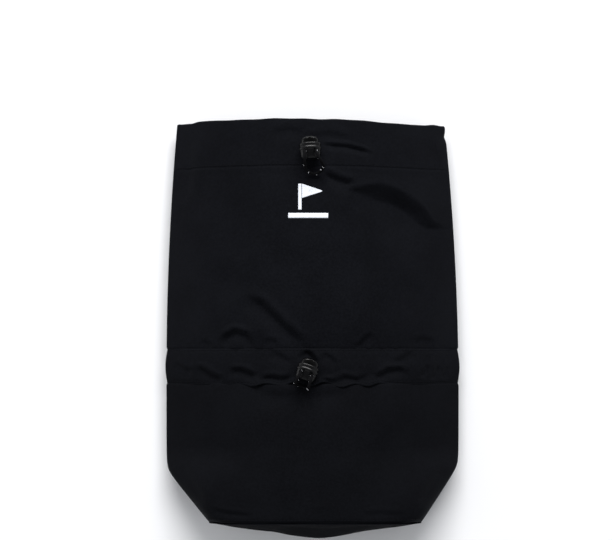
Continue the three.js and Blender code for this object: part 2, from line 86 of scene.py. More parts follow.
# The section and outline formulas are the frame's own.
WIDEST_Y = -60
HALF_WIDTH = 134.3
MOUTH_NARROWING = 12.8
CORNER_Y = -124
CORNER_SLOPE = 0.72
CORNER_ROUNDING = 6
MOUTH_SAG = 4
MOUTH_SAG_FROM_Y = 90
SEAM_HEIGHT = 14
BASE_SEAM_HEIGHT = 35
BOXING_FROM_Y = -105
BASE_BOXING = 0.85
FRONT_POWER = 2.3
BOX_POWER = 0.444
FLAT_PART = 0.72
SIDE_GAIN = 1.7
WAIST_WIDE_DIP = 7
WAIST_WIDE_SPREAD = 26
WAIST_PUFF = 2.5
WAIST_PUFF_SPREAD = 10
TUNNEL = 6.4
CORD_INSET = 4.2

# The cloth hangs a little wider on the left than the frame's mirrored outline, and its corners differ.
LEFT_MOUTH_EXTRA = 3.0
LEFT_MOUTH_POWER = 1.3
LEFT_CORNER_Y = -128
LEFT_CORNER_SLOPE = 0.85
RIGHT_CORNER_SLOPE = 0.69

CLOTH = 0.7
GRID = 1.6
SEAM_FADE_POWER = 14
SEAM_ROWS = (0.35, 0.7, 1.1, 1.6, 2.4)
SEAM_ROWS_REACH = 3
CASING_GRID = GRID / 1.4
MOUTH_TURN_RADIUS = 1.2
HEM_GAP = 2.4
UNDER_CASING_MARGIN = 1.5
UNDER_CASING_RUN = 11

# How far the mouth's edge hangs back: all along, on the right, less at its corner, and at the left corner.
MOUTH_DROP = 0.6
MOUTH_RIGHT_DROP = 3.6
MOUTH_RIGHT_CORNER_RISE = 1.3
MOUTH_LEFT_CORNER_DROP = 1.4
MOUTH_BACK_SHARE = 0.8
MOUTH_DROP_FROM_Y = HEM_Y - 30
MOUTH_PINCH = 1.5
MOUTH_PINCH_BELOW = 10

# Ripples of the mouth's edge: height, waves and phase.
MOUTH_RIPPLES = [(0.35, 11, 1.3), (0.2, 27, 0)]

BASE_SEAM_DIP = 1.5
BASE_TIP_ROUNDING = 0.08
BASE_STRAIGHT_SHARE = 0.75
BASE_TIP_X = 5
BASE_TIP_Z = 0.4 * CREST
BASE_RINGS = 44
BASE_SLACK = 0.5
BASE_FOLD_SHARE = 0.5

# ---- Folds, puckers and sag ----

# Each fold: its line in [x, y] from left to right, how wide its valley is and how deep. The side towards the
# mouth falls in steeply, and the other side climbs back slowly.
FRONT_FOLDS = [
    ([(6, 168), (20, 166.5), (32, 166), (44, 163.5), (57, 159)], 1.3, 2.6),
    ([(8, 141), (18, 136), (30, 132), (40, 131)], 2.8, 3.2),
    ([(-12, 172), (14, 176), (40, 172)], 3, 1),
    ([(-40, 176), (-22, 180), (-4, 176)], 3, 1),
    ([(-66, 30), (-48, 22), (-33, 7), (-18, -7), (-6, -19)], 3.6, 3.8),
    ([(-88, -19), (-80, -8), (-70, -3), (-60, -6), (-50, -20)], 2.4, 3.2),
    ([(-102, -10), (-97, -13), (-92, -17)], 2.0, 1.2),
    ([(-46, -13), (-38, -11), (-30, -15)], 2.2, 1.1),
    ([(38, -18), (45, -12), (54, -3)], 1.8, 1.8),
    ([(88, -14), (100, -10), (114, -12)], 2.6, 1.1),
    ([(-6, -149), (0, -155), (9, -165)], 1.9, 2.4),
    ([(-94, -162), (-76, -166), (-54, -168)], 1.5, 1.2),
    ([(40, -167), (62, -166), (88, -168)], 1.8, 0.7),
    ([(-118, 178), (-114, 150), (-120, 110)], 5, 1.2),
    ([(104, 180), (112, 158), (108, 132)], 5, 1),
    ([(-62, -57), (-30, -62), (10, -61), (40, -58)], 5, 1.9),
    ([(-124, -122), (-112, -140), (-98, -162)], 6, 1.4),
    ([(97, -162), (112, -140), (124, -122)], 6, 1.4),
    ([(-88, 60), (-60, 30), (-46, -2)], 12, 1),
    ([(58, -2), (70, 20), (92, 52)], 12, 1),
]
FOLD_FADE = 0.28
FOLD_SLOW_SIDE = 2.4
FOLD_LIP = 0.4
FOLD_LIP_PLACE = 2.1
FOLD_LIP_SPREAD = 1.1

# Broad folds, with a straight flank on the mouth side of the valley: line, flank's width and depth.
FRONT_FLANKS = [
    ([(24, 125), (40, 122), (56, 121), (72, 115), (88, 106), (108, 92), (129, 92)], 14, 8.6),
]
FLANK_FADE_IN = 0.42
FLANK_FADE_OUT = 0.4
FLANK_FADE_POWER = 0.8
FLANK_TIP_WIDTH = 0.3
FLANK_WANDER = 1.3
FLANK_CLIMB = 2.2
FLANK_LIP = 0.2
FLANK_LIP_REACH = 0.9

# Puckers of the waist casing, where the cord gathers it: line, width and depth.
CASING_FOLDS = [
    ([(-9, -19), (-2, -24), (3, -33)], 2.4, 3.6),
    ([(-107, -34), (-98, -38), (-90, -43), (-80, -47)], 2.2, 2.6),
    ([(-77, -37), (-64, -38), (-54, -42), (-50, -46)], 2.2, 2.6),
    ([(-50, -47), (-38, -45), (-26, -46), (-16, -44)], 2.4, 2.9),
    ([(4, -47), (16, -49), (29, -45), (40, -47), (52, -43)], 2.4, 3.1),
    ([(54, -48), (60, -43), (68, -38), (78, -37), (88, -39)], 2.2, 2.9),
    ([(72, -32), (84, -26), (94, -19)], 2.4, 1.4),
    ([(-126, -30), (-118, -36), (-108, -40)], 2.2, 1.4),
    ([(-40, -20), (-28, -26), (-18, -33)], 2.6, 1.4),
    ([(8, -22), (16, -27), (22, -34)], 2.4, 1.4),
    ([(98, -44), (102, -38), (104, -31)], 1.6, 1.2),
    ([(108, -46), (112, -40), (114, -32)], 1.6, 1.3),
    ([(118, -45), (121, -39), (123, -32)], 1.6, 1.2),
]

# Creases of the base panel: line in [x, z], width and depth.
BASE_FOLDS = [
    ([(-88, 54), (-52, 46), (-20, 38)], 4, 2.2),
    ([(90, 52), (58, 46), (30, 38)], 4, 2.2),
    ([(-84, 14), (-50, 24), (-24, 32)], 4, 1.8),
    ([(84, 16), (54, 24), (32, 32)], 4, 1.8),
    ([(-30, 60), (4, 52), (34, 60)], 5, 1.6),
]

# Unevenness of slack cloth: height, seed and wavelength.
FRONT_SLACK = [(0.35, 3, 110), (0.1, 4, 34)]

# Pleats that a sewn line pulls up: height, the line's place, seed, spacing and reach.
FRONT_PUCKERS = [
    (0.3, HEM_Y, 5, 11, 5), (0.6, WAIST_TOP_Y, 6, 12, 7),
    (0.5, WAIST_BOTTOM_Y, 7, 12, 8), (0.35, BASE_Y, 8, 14, 6),
]
BACK_PUCKERS = [(0.8, WAIST_TOP_Y, 16, 10, 7), (0.8, WAIST_BOTTOM_Y, 17, 10, 7)]

# Grooves that a sewn line pulls in: depth, the line's place and width.
FRONT_GROOVES = [(BASE_SEAM_DIP, BASE_Y, 2.2), (0.35, HEM_Y, 1.1)]
HEM_STEP = 0.3
BACK_CREASE = 0.35

# Gathered cloth: how much its pleats wander, their usual size and how that varies, and their sharpness.
GATHER_DRIFT = 2.2
GATHER_SIZE, GATHER_SIZE_CHANGE = 0.55, 0.45
GATHER_SHARPNESS = 0.7
GATHER_TOP, GATHER_DEPTH = 0.5, 1.2

CASING_PUFF = 1.1
CASING_PLEAT = 0.8
CASING_PLEAT_SPACING = 10.5
CASING_PLEAT_LEAN = 0.35

# How strongly the casing is pleated: everywhere, more near its lock and most at the sides.
PLEATED = 0.25
PLEATED_BY_LOCK, PLEATED_LOCK_SPREAD = 0.45, 60
PLEATED_AT_SIDES, PLEATED_SIDES_FROM, PLEATED_SIDES_TO = 0.7, 92, 128
BACK_CASING_PLEAT = 0.5
CASING_TUCK = 0.95
CASING_TUCK_REACH = 3
CASING_OVERHANG = 2.9
CASING_OVERHANG_WAVE = 0.7
CASING_OVERHANG_REACH = 9
CASING_SIDE_BULGE = 1.9
CASING_SIDE_TUCK = 0.9
CASING_EDGE_WAVE = 1.8
CASING_EDGE_ROOM = 0.6
LOCK_PRESS = 0.35
LOCK_PRESS_SPREAD = 15
LOOSE_FROM_X, LOOSE_TO_X, LOOSE_RUN = -66, 70, 20

# ---- Stitches and tapes ----

STITCH_PITCH = 3.2
STITCH_LENGTH = 2.4
STITCH_RADIUS = 0.2
STITCH_SIDES = 6
STITCH_FLATNESS = 1.25

# A stitch from end to end: how far along, thickness and rise.
STITCH_PROFILE = [
    (-0.5, 0.15, -0.55), (-0.36, 0.85, 0.0), (0.0, 1.0, 0.12), (0.36, 0.85, 0.0), (0.5, 0.15, -0.55),
]
STITCH_LIFT = {FRONT: 0.15, BACK: -0.25}
HEM_STITCHES_Y = HEM_Y + 1.5
CASING_STITCHES_Y = {"upper": WAIST_TOP_Y - 1.6, "lower": WAIST_BOTTOM_Y + 2.2}
BASE_STITCHES_Y = BASE_Y + 3.2
BASE_STITCH_LIFT = 0.25
FIRST_STITCH = 0.6

SIDE_TAPE_FROM_Y, SIDE_TAPE_TO_Y, SIDE_TAPE_STEP = BASE_Y + 14, HEM_Y - 2, 3

# The side tape's section: how far inside the seam, and height over it.
SIDE_TAPE_OUTLINE = [
    (2.6, 0.4), (4.5, 0.6), (8, 0.6), (10.2, 0.5), (10.6, 0), (10.2, -0.5), (8, -0.6), (2.6, -0.4),
]
BASE_TAPE_FROM, BASE_TAPE_TO, BASE_TAPE_STEP = 1, 9.5, 1.2
BASE_TAPE_INSET = 2.9
TAPE = 0.8

# ---- Cords ----

CORD_DIAMETER = 2.8
BRAID_STRANDS = 8
BRAID_PITCH = 6.5
BRAID_RELIEF = 0.11
CORD_STEP, CORD_SIDES = 0.5, 32
HELD_CORD_STEP, HELD_CORD_SIDES = 1.6, 16
HELD_CORD_GAP = 0.7
FRONT_CORD_STOPS = (0.3, 0.45, 0.6, 0.75, 0.88)
BACK_CORD_STOPS = (0.88, 0.72, 0.5, 0.25)

FLECK_STEP = 0.4
FLECK_SPACING = 7.4
FLECK_MARGIN = 4.0
FLECK_ROWS = 5
FLECK_COLUMNS = 3
FLECK_SPREAD = 0.36
FLECK_RISE = 0.12
FLECK_EDGE_RISE = 0.048
FLECK_ROOT = -0.25

STRAND_X = 5.2
STRAND_HOLE = 1.8

# The free loops in their lock's frame: both strands' straight start, then each strand on to the loop's tip.
STRAND_START = [(STRAND_X, 0, -4.6), (STRAND_X, 0, 3), (STRAND_X, 0, 8), (STRAND_X, 0, 13), (STRAND_X, 0, 18)]
MID_LOOP_RIGHT = [
    (5.3, -0.8, 21), (5.5, -3, 23.2), (5.8, -6, 24), (6, -9, 23.2), (6.2, -11.2, 21), (6.2, -12, 18),
    (6.2, -12.2, 13.8), (6.2, -12.3, 9.6), (5.4, -12.4, 6.5), (3.1, -12.5, 4.2),
]
LOOPS = {
    "mouth": {
        "right": [
            (5.3, -0.8, 21.1), (5.8, -3.1, 23.4), (7, -6.2, 24.2), (8.6, -9.2, 23.3), (9.9, -11.6, 20.9),
            (10.8, -13, 17.4), (11.1, -14, 13.6), (10.8, -15.1, 10), (9.5, -16.8, 6.9), (6.8, -18.8, 4.6),
        ],
        "left": [
            (-5.3, -0.8, 21.1), (-5.4, -3.1, 23.4), (-5.6, -6.2, 24.2), (-5.7, -9.2, 23.3),
            (-5.7, -11.6, 20.9), (-5.7, -12.9, 17.4), (-5.6, -13.7, 13.6), (-5.2, -14.8, 10),
            (-3.9, -16.7, 6.7), (-1.2, -18.9, 4.4),
        ],
        "tip": (2.7, -20, 3.5),
    },
    "mid": {
        "right": MID_LOOP_RIGHT,
        "left": [(-x, y, z) for x, y, z in MID_LOOP_RIGHT],
        "tip": (0, -12.5, 3.4),
    },
}

# ---- Eyelets, locks and springs ----

EYELET_DEPTH = 2.2

# Sections of the eyelet and its washer: radius and height.
EYELET_OUTLINE = [
    (STRAND_HOLE, -2.2), (2.25, -2.2), (2.25, 0.35), (3.5, 0.35), (3.8, 0.5), (3.75, 0.7), (3.45, 0.86),
    (2.9, 0.9), (2.3, 0.84), (1.95, 0.66), (STRAND_HOLE, 0.4),
]
WASHER_OUTLINE = [(2.6, -2.1), (3.7, -2.1), (3.8, -2.0), (3.8, -1.8), (3.7, -1.7), (2.6, -1.7)]

PRESS_TRAVEL = 2.4
LOCK_RISE = 7.7
LOCK_FLOOR = -5.3
LOCK_SIDES = 96
LOCK_SQUARENESS = 0.86

# Levels of the barrel, its cavity and the plunger: how far along, half width, half depth and arch.
ARCH = 1.2
BARREL_LEVELS = [
    (-6.1, 6.2, 3.5, 0), (-6.08, 7.2, 4.4, 0), (-5.85, 7.9, 4.95, 0), (-5.4, 8.4, 5.35, 0),
    (-4.6, 8.75, 5.6, 0), (-2.5, 9.05, 5.8, 0.1), (-0.5, 9.25, 5.9, 0.5), (0.7, 9.35, 5.9, 1.0),
    (1.15, 9.4, 5.95, ARCH), (1.45, 9.75, 6.2, ARCH), (1.9, 10.05, 6.38, ARCH), (2.6, 10.15, 6.45, ARCH),
    (3.3, 10.05, 6.38, ARCH), (3.75, 9.75, 6.2, ARCH), (4.05, 9.45, 5.95, ARCH), (4.5, 9.4, 5.9, ARCH),
    (5.0, 9.45, 5.95, ARCH), (5.3, 9.75, 6.15, ARCH), (5.8, 9.92, 6.25, ARCH), (6.5, 9.92, 6.25, ARCH),
    (7.0, 9.75, 6.1, ARCH), (7.3, 9.45, 5.85, ARCH), (7.4, 9.0, 5.45, ARCH),
]
CAVITY_LEVELS = [
    (LOCK_FLOOR, 7.9, 4.4, 0), (LOCK_FLOOR + 0.3, 8.3, 4.7, 0), (6.9, 8.3, 4.7, ARCH), (7.5, 8.8, 5.2, ARCH),
    (10, 8.8, 5.2, ARCH),
]
PLUNGER_LEVELS = [
    (-2.7, 7.3, 3.8, 0), (-2.55, 7.75, 4.2, 0), (-2.1, 7.9, 4.3, 0), (7.8, 7.9, 4.3, 0), (9.0, 7.9, 4.3, 0),
    (9.9, 7.86, 4.29, 0), (10.8, 7.68, 4.24, 0), (11.6, 7.3, 4.12, 0), (12.3, 6.75, 3.92, 0),
    (12.9, 6.0, 3.62, 0), (13.4, 5.05, 3.2, 0), (13.8, 3.9, 2.6, 0), (14.05, 2.6, 1.8, 0),
    (14.17, 1.3, 0.95, 0), (14.2, 0.4, 0.3, 0),
]
BARREL_BEVEL = 0.22
PLUNGER_BEVEL = 0.2

# Cutters run from below a lock to above it.
CUT_LOW, CUT_HIGH = -4, 24
THUMB_START = 8.6
THUMB_HALF_WIDTH = 6.0
THUMB_LENGTH = 4.3
THUMB_HALF_WEB = 1.4
POCKET_RADIUS = 2.1
POCKET_LOW, POCKET_TOP = -5, 6
POCKET_OUTLINE = [
    (0.01, POCKET_LOW), (POCKET_RADIUS, POCKET_LOW), (POCKET_RADIUS, POCKET_TOP), (0.01, POCKET_TOP),
]

SPRING_TURNS = 5
SPRING_STEPS = 160
SPRING_WIRE = 0.25
SPRING_RADIUS = 1.55
SPRING_SIDES = 10

# ---- Print, camera, floor and light ----

INK_TOP, INK_UNDERSIDE = 0.14, 0.02

# The mark's parts: how many points across and up each has, and its half height at a tip on the right.
MARK_POINTS = {"mark_bar": (36, 5), "mark_pole": (4, 23), "mark_pennant": (20, 14)}
MARK_TIPS = {"mark_pennant": 0.5}

FRAME_WIDTH = 563
CAMERA_DISTANCE = 2600
CAMERA_TILT = math.radians(2)
AIM = np.array([-6.0, 55.0, SEAM_HEIGHT])
SENSOR = 36

# Each light: where it is and its size in metres, and its power in watts.
LIGHTS = {
    "window": ((0.2, 3.1, 2.5), (3.2, 1.5), 205),
    "left_panel": ((-2.2, 0.2, 0.8), (1.2, 0.8), 5),
}
WALLS_COLOR = (0.95, 0.97, 1.0)
CEILING_COLOR = (0.22, 0.225, 0.23)
CEILING_FROM, CEILING_FULL = 0.86, 0.99
STUDIO_STRENGTH = 0.62
FLOOR_COLOR = (0.86, 0.86, 0.87)
FLOOR_HALF = 4000
FLOOR_DROP = 0.4

CLOTH_DARK = (0.0022, 0.0024, 0.0035)
CLOTH_LIGHT = (0.0045, 0.0049, 0.0066)
WORN_GAIN = 1.5
SHEEN_TINT = (0.8, 0.86, 1.0)

# The darkest and lightest colours of the reflective yarn and of the eyelets' lacquer.
YARN = ((0.5, 0.51, 0.54), (0.92, 0.93, 0.96))
LACQUER = ((0.018, 0.018, 0.02), (0.06, 0.06, 0.065))

THREAD_SPACING = 0.55
RIB_SPACING = 0.9


def lock_place(word):
    """Where a lock stands on the cloth, and how far it is turned, from its two eyelets."""
    left, right = centre(f"{word}_eyelet_left"), centre(f"{word}_eyelet_right")
    middle = (left + right) / 2
    turn = math.atan2(right[1] - left[1], right[0] - left[0])
    return {"x": middle[0], "y": middle[1], "z": low(f"{word}_eyelet_left")[2] + EYELET_DEPTH, "turn": turn}


LOCKS = {word: lock_place(word) for word in ("mouth", "mid")}


# ---- Materials ----

def new_material(name, color, roughness, specular=0.5, metallic=0.0, sheen=0.0, sheen_tint=(1, 1, 1)):
    """A Principled material. Values that are the same all over are set on the shader's own sockets."""
    material = bpy.data.materials.new(name)
    material.use_nodes = True
    shader = material.node_tree.nodes["Principled BSDF"]
    shader.inputs["Base Color"].default_value = (*color, 1)
    shader.inputs["Roughness"].default_value = roughness
    shader.inputs["Metallic"].default_value = metallic
    shader.inputs["Specular IOR Level"].default_value = specular
    shader.inputs["Sheen Weight"].default_value = sheen
    shader.inputs["Sheen Roughness"].default_value = 0.4
    shader.inputs["Sheen Tint"].default_value = (*sheen_tint, 1)
    return material


def scaled(color, share):
    return tuple(share * c for c in color)


def wave_scale(period):
    """The wave texture's scale for bands that many millimetres apart."""
    return 2 * math.pi / (20 * period * MM)


class Nodes:
    """Short names for building a material's node tree."""

    def __init__(self, material):
        self.tree = material.node_tree
        self.shader = self.tree.nodes["Principled BSDF"]
        self.place = self.tree.nodes.new("ShaderNodeTexCoord").outputs["Object"]

    def add(self, kind, inputs=None, **settings):
        node = self.tree.nodes.new(kind)
        for key, value in settings.items():
            setattr(node, key, value)
        for key, value in (inputs or {}).items():
            if isinstance(value, bpy.types.NodeSocket):
                self.tree.links.new(value, node.inputs[key])
            else:
                node.inputs[key].default_value = value
        return node

    def stretched(self, scale):
        return self.add("ShaderNodeMapping", {"Vector": self.place, "Scale": scale}).outputs["Vector"]

    def noise(self, scale, detail=3.0, vector=None):
        inputs = {"Vector": vector or self.place, "Scale": scale, "Detail": detail}
        return self.add("ShaderNodeTexNoise", inputs).outputs["Fac"]

    def wave(self, direction, period, distortion=0.0):
        inputs = {"Vector": self.place, "Scale": wave_scale(period), "Distortion": distortion}
        return self.add("ShaderNodeTexWave", inputs, bands_direction=direction).outputs["Fac"]

    def weave(self, distortion=0.0):
        """The cloth's crossing threads."""
        warp, weft = (self.wave(direction, THREAD_SPACING, distortion) for direction in "XY")
        return self.math("MULTIPLY", warp, weft)

    def pointiness(self):
        return self.add("ShaderNodeNewGeometry").outputs["Pointiness"]

    def math(self, operation, a, b):
        return self.add("ShaderNodeMath", {0: a, 1: b}, operation=operation).outputs[0]

    def ramp(self, factor, low_value, high_value, start=0.3, end=0.7):
        """A colour that runs from low_value to high_value while factor goes from start to end."""
        node = self.add("ShaderNodeValToRGB", {"Fac": factor})
        for element, place, value in zip(node.color_ramp.elements, (start, end), (low_value, high_value)):
            element.position = place
            element.color = (*value, 1) if hasattr(value, "__len__") else (value, value, value, 1)
        return node.outputs["Color"]

    def mix(self, factor, a, b):
        """A colour between a and b, which are colours or other nodes' outputs."""
        node = self.add("ShaderNodeMix", {0: factor}, data_type="RGBA")
        for socket, value in ((node.inputs[6], a), (node.inputs[7], b)):
            if isinstance(value, bpy.types.NodeSocket):
                self.tree.links.new(value, socket)
            else:
                socket.default_value = (*value, 1)
        return node.outputs[2]

    def bump(self, height, distance, strength, normal=None):
        inputs = {"Height": height, "Distance": distance, "Strength": strength}
        if normal is not None:
            inputs["Normal"] = normal
        return self.add("ShaderNodeBump", inputs).outputs["Normal"]

    def feed(self, socket, value):
        self.tree.links.new(value, self.shader.inputs[socket])


def woven_cloth(name, painted_shade, sheen=0.02):
    """Fine plain-weave polyester: crossing threads, faint slubs, mottled dye and paler worn creases."""
    # painted_shade darkens the whole cloth as painted shade, where less light falls; 1 keeps the upper
    # panels' colour.
    dark, light = scaled(CLOTH_DARK, painted_shade), scaled(CLOTH_LIGHT, painted_shade)
    worn = scaled(CLOTH_LIGHT, WORN_GAIN * painted_shade)
    material = new_material(name, dark, roughness=0.8, specular=0.04, sheen=sheen, sheen_tint=SHEEN_TINT)
    n = Nodes(material)
    weave = n.weave(distortion=0.3)
    slubs = n.noise(900, 2, n.stretched((0.15, 1, 1)))
    blotches, specks = n.noise(26, 5), n.noise(520, 2)
    mottle = n.math("ADD", n.math("MULTIPLY", blotches, 0.45), n.math("MULTIPLY", specks, 0.55))
    dye = n.mix(n.ramp(mottle, 0.0, 1.0, 0.38, 0.62), dark, light)
    threads = n.mix(n.ramp(n.math("MULTIPLY", weave, slubs), 0.0, 0.5, 0.1, 0.6), dye, worn)
    n.feed("Base Color", n.mix(n.ramp(n.pointiness(), 0.0, 0.3, 0.53, 0.62), threads, worn))
    n.feed("Roughness", n.ramp(mottle, 0.72, 0.86))
    crinkle = n.bump(n.noise(240, 4), distance=0.00012, strength=0.35)
    n.feed("Normal", n.bump(weave, distance=0.00008, strength=0.45, normal=crinkle))
    return material


def ribbed_tape(name, color):
    """Grosgrain binding tape, with close ribs across it."""
    material = new_material(name, color, roughness=0.85, specular=0.08, sheen=0.02)
    n = Nodes(material)
    ribs = n.wave("Y", RIB_SPACING)
    n.feed("Base Color", n.mix(ribs, color, scaled(color, 1.6)))
    n.feed("Normal", n.bump(ribs, distance=0.0002, strength=0.6))
    return material


def braided_cord(name, color):
    """Matt fibres with a fine fuzz."""
    material = new_material(name, color, roughness=0.8, specular=0.05)
    n = Nodes(material)
    fuzz = n.noise(2600, 3)
    n.feed("Base Color", n.ramp(fuzz, color, scaled(color, 2.4)))
    n.feed("Normal", n.bump(fuzz, distance=0.0001, strength=0.5))
    return material


def moulded_plastic(name, color, roughness):
    """Black acetal with a fine moulded grain. Its rubbed edges are evenly smoother, and paler in colour as a
    painted highlight.
    """
    material = new_material(name, color, roughness, specular=0.24)
    n = Nodes(material)
    grain = n.noise(2400, 4)
    rubbed_and_highlit = n.ramp(n.pointiness(), 0.0, 1.0, 0.54, 0.66)
    # The paler colour along the edges is a painted highlight; the smoother finish there is rubbing.
    n.feed("Base Color", n.mix(rubbed_and_highlit, color, scaled(color, 3.2)))
    n.feed("Roughness", n.mix(rubbed_and_highlit, n.ramp(grain, roughness - 0.06, roughness + 0.1), (0.2, 0.2, 0.2)))
    n.feed("Normal", n.bump(grain, distance=0.00006, strength=0.4))
    return material


def speckled(name, color, roughness, metallic, grain, roughnesses, colors=None):
    """Metal or reflective fibre. A grain of a given scale and detail varies its roughness and its colour."""
    material = new_material(name, color, roughness, metallic=metallic)
    n = Nodes(material)
    noise = n.noise(*grain)
    if colors:
        n.feed("Base Color", n.ramp(noise, *colors))
    n.feed("Roughness", n.ramp(noise, *roughnesses))
    return material


def screen_print(name):
    """White ink, a little patchy, with the cloth's weave showing through."""
    material = new_material(name, (0.8, 0.83, 0.9), roughness=0.55, specular=0.3)
    n = Nodes(material)
    n.feed("Base Color", n.ramp(n.noise(420, 4), (0.66, 0.69, 0.76), (0.84, 0.87, 0.93), 0.2, 0.5))
    n.feed("Normal", n.bump(n.weave(), distance=0.00005, strength=0.4))
    return material


# One cloth for all panels: the lower panels, the casing and the base get it darker than the upper panels as
# painted shade.
MATERIALS = {
    "upper": woven_cloth("upper_cloth", painted_shade=1.0),
    "lower": woven_cloth("lower_cloth", painted_shade=0.76),
    "casing": woven_cloth("casing_cloth", painted_shade=0.86),
    "base": woven_cloth("base_cloth", painted_shade=0.8, sheen=0.0),
    "tape": ribbed_tape("binding_tape", (0.004, 0.0043, 0.005)),
    "thread": braided_cord("sewing_thread", (0.0028, 0.003, 0.004)),
    "cord": braided_cord("braided_cord", (0.0016, 0.0016, 0.0019)),
    "yarn": speckled("reflective_yarn", (0.75, 0.77, 0.8), 0.35, 0.35, (3200, 2), (0.22, 0.5), YARN),
    "plastic": moulded_plastic("lock_plastic", (0.0012, 0.0012, 0.0015), roughness=0.26),
    "button": moulded_plastic("button_plastic", (0.0006, 0.0006, 0.0008), roughness=0.15),
    "eyelet": speckled("eyelet_lacquer", (0.03, 0.03, 0.034), 0.34, 0.85, (700, 5), (0.26, 0.48), LACQUER),
    "spring": speckled("spring_wire", (0.6, 0.61, 0.63), 0.28, 1.0, (1500, 3), (0.2, 0.42)),
    "ink": screen_print("print_ink"),
}


# ---- Meshes ----

def new_object(name, data):
    thing = bpy.data.objects.new(name, data)
    bpy.context.collection.objects.link(thing)
    return thing


def new_mesh(name, points, faces):
    """A mesh from points in millimetres."""
    mesh = bpy.data.meshes.new(name)
    mesh.from_pydata([tuple(p) for p in np.asarray(points, float) * MM], [], [tuple(f) for f in faces])
    return mesh


def make_piece(name, points, faces, material, body="bag", replaces=()):
    """A smooth-shaded piece. It rides on a body and stands for the CAD nodes named."""
    mesh = new_mesh(name, points, faces)
    mesh.polygons.foreach_set("use_smooth", [True] * len(mesh.polygons))
    mesh.materials.append(MATERIALS[material])
    mesh.update()
    piece = new_object(name, mesh)
    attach(piece, body)
    if replaces:
        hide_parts(*replaces)
    return piece


def apply_modifiers(piece):
    """Replaces the piece's mesh with its modified one, and drops the modifiers."""
    graph = bpy.context.evaluated_depsgraph_get()
    mesh = bpy.data.meshes.new_from_object(piece.evaluated_get(graph))
    piece.modifiers.clear()
    piece.data = mesh


def thicken(piece, thickness=CLOTH):
    """Gives a sheet its thickness, inwards from the face that its normals point out of."""
    solid = piece.modifiers.new("cloth", "SOLIDIFY")
    solid.thickness = thickness * MM
    solid.offset = -1
    apply_modifiers(piece)


def recalculate_normals(piece):
    mesh = bmesh.new()
    mesh.from_mesh(piece.data)
    bmesh.ops.recalc_face_normals(mesh, faces=mesh.faces)
    mesh.to_mesh(piece.data)
    mesh.free()


def flip_outward(piece):
    """Makes an open sheet's normals point away from the middle of the bag."""
    mesh = piece.data
    middle = Vector((0, 0, CREST * MM / 2))
    outward = sum(p.normal.dot(p.center - middle) * p.area for p in mesh.polygons)
    if outward < 0:
        mesh.flip_normals()


def grid_faces(rows, columns, flip=False):
    faces = []
    for i in range(rows - 1):
        for j in range(columns - 1):
            a = i * columns + j
            face = (a, a + columns, a + columns + 1, a + 1)
            faces.append(face[::-1] if flip else face)
    return faces


def slab_faces(rows, columns, flip=False):
    """A closed slab: one grid, a second one under it, and the border between them."""
    layer = rows * columns
    top = grid_faces(rows, columns, flip)
    border = [*range(columns)]
    border += [i * columns + columns - 1 for i in range(1, rows)]
    border += [layer - 1 - j for j in range(1, columns)]
    border += [i * columns for i in range(rows - 2, 0, -1)]
    under = [tuple(layer + v for v in face[::-1]) for face in top]
    return top + under + [(u, v, layer + v, layer + u) for u, v in zip(border, border[1:] + border[:1])]


def ring_faces(rings, size, closed_ends=True):
    faces = []
    for i in range(rings - 1):
        for j in range(size):
            a, b = i * size + j, i * size + (j + 1) % size
            faces.append((a, b, b + size, a + size))
    if closed_ends:
        faces.append(tuple(range(size))[::-1])
        faces.append(tuple(range((rings - 1) * size, rings * size)))
    return faces


# ---- The bag's smooth surface ----

def bell(distance, spread):
    return np.exp(-((distance / spread) ** 2))


def mix(a, b, share):
    return a + (b - a) * share


def smoothstep(value, start, end):
    t = np.clip((value - start) / (end - start), 0, 1)
    return t * t * (3 - 2 * t)


def corner_slant(y, corner_y, slope):
    past_corner = corner_y - y
    return slope * (past_corner + np.hypot(past_corner, CORNER_ROUNDING)) / 2


def towards_mouth(y):
    return np.clip((y - WIDEST_Y) / (MOUTH_Y - WIDEST_Y), 0, 1)


def straight_half_width(y):
    return HALF_WIDTH - MOUTH_NARROWING * towards_mouth(y) ** 2


def half_width(y):
    return straight_half_width(y) - corner_slant(y, CORNER_Y, CORNER_SLOPE)


def cloth_reach(across, y):
    """Half the width that the cloth really takes, on the side that across is on."""
    extra = LEFT_MOUTH_EXTRA * towards_mouth(y) ** LEFT_MOUTH_POWER
    left = extra - corner_slant(y, LEFT_CORNER_Y, LEFT_CORNER_SLOPE)
    right = -corner_slant(y, CORNER_Y, RIGHT_CORNER_SLOPE)
    return straight_half_width(y) + np.where(across < 0, left, right)


def crest_height(y):
    near_mouth = np.maximum(0, (y - MOUTH_SAG_FROM_Y) / (MOUTH_Y - MOUTH_SAG_FROM_Y))
    dip = WAIST_WIDE_DIP * bell(y - WAIST_Y, WAIST_WIDE_SPREAD)
    puff = WAIST_PUFF * bell(y - WAIST_Y, WAIST_PUFF_SPREAD)
    return CREST - MOUTH_SAG * near_mouth ** 2 - dip + puff


def base_nearness(y):
    return smoothstep(-y, -BOXING_FROM_Y, -BASE_Y)


def seam_height(y):
    return mix(SEAM_HEIGHT, BASE_SEAM_HEIGHT, base_nearness(y))


def smooth_point(side, across, y, inset):
    """Points of the cloth before its folds. across is -1 at the left seam and 1 at the right."""
    across, y, inset = np.broadcast_arrays(across, y, inset)
    reach = cloth_reach(across, y) - SIDE_GAIN * inset
    out = np.clip(np.abs(across), 0, 1)
    turn = (1 - out) * np.pi / 2
    boxing = BASE_BOXING * base_nearness(y)
    boxed_rise = np.sin(turn) ** BOX_POWER
    x = np.sign(across) * reach * mix(out, np.abs(np.cos(turn)) ** BOX_POWER, boxing)
    seam = seam_height(y)
    if side == FRONT:
        rise = mix(1 - out ** FRONT_POWER, boxed_rise, boxing)
        z = seam + (crest_height(y) - inset - seam) * rise
    else:
        lens = np.maximum(0, (out - FLAT_PART) / (1 - FLAT_PART)) ** 2
        z = inset + (seam - inset) * mix(lens, 1 - boxed_rise, boxing)
    return np.stack([x, y, z], axis=-1)


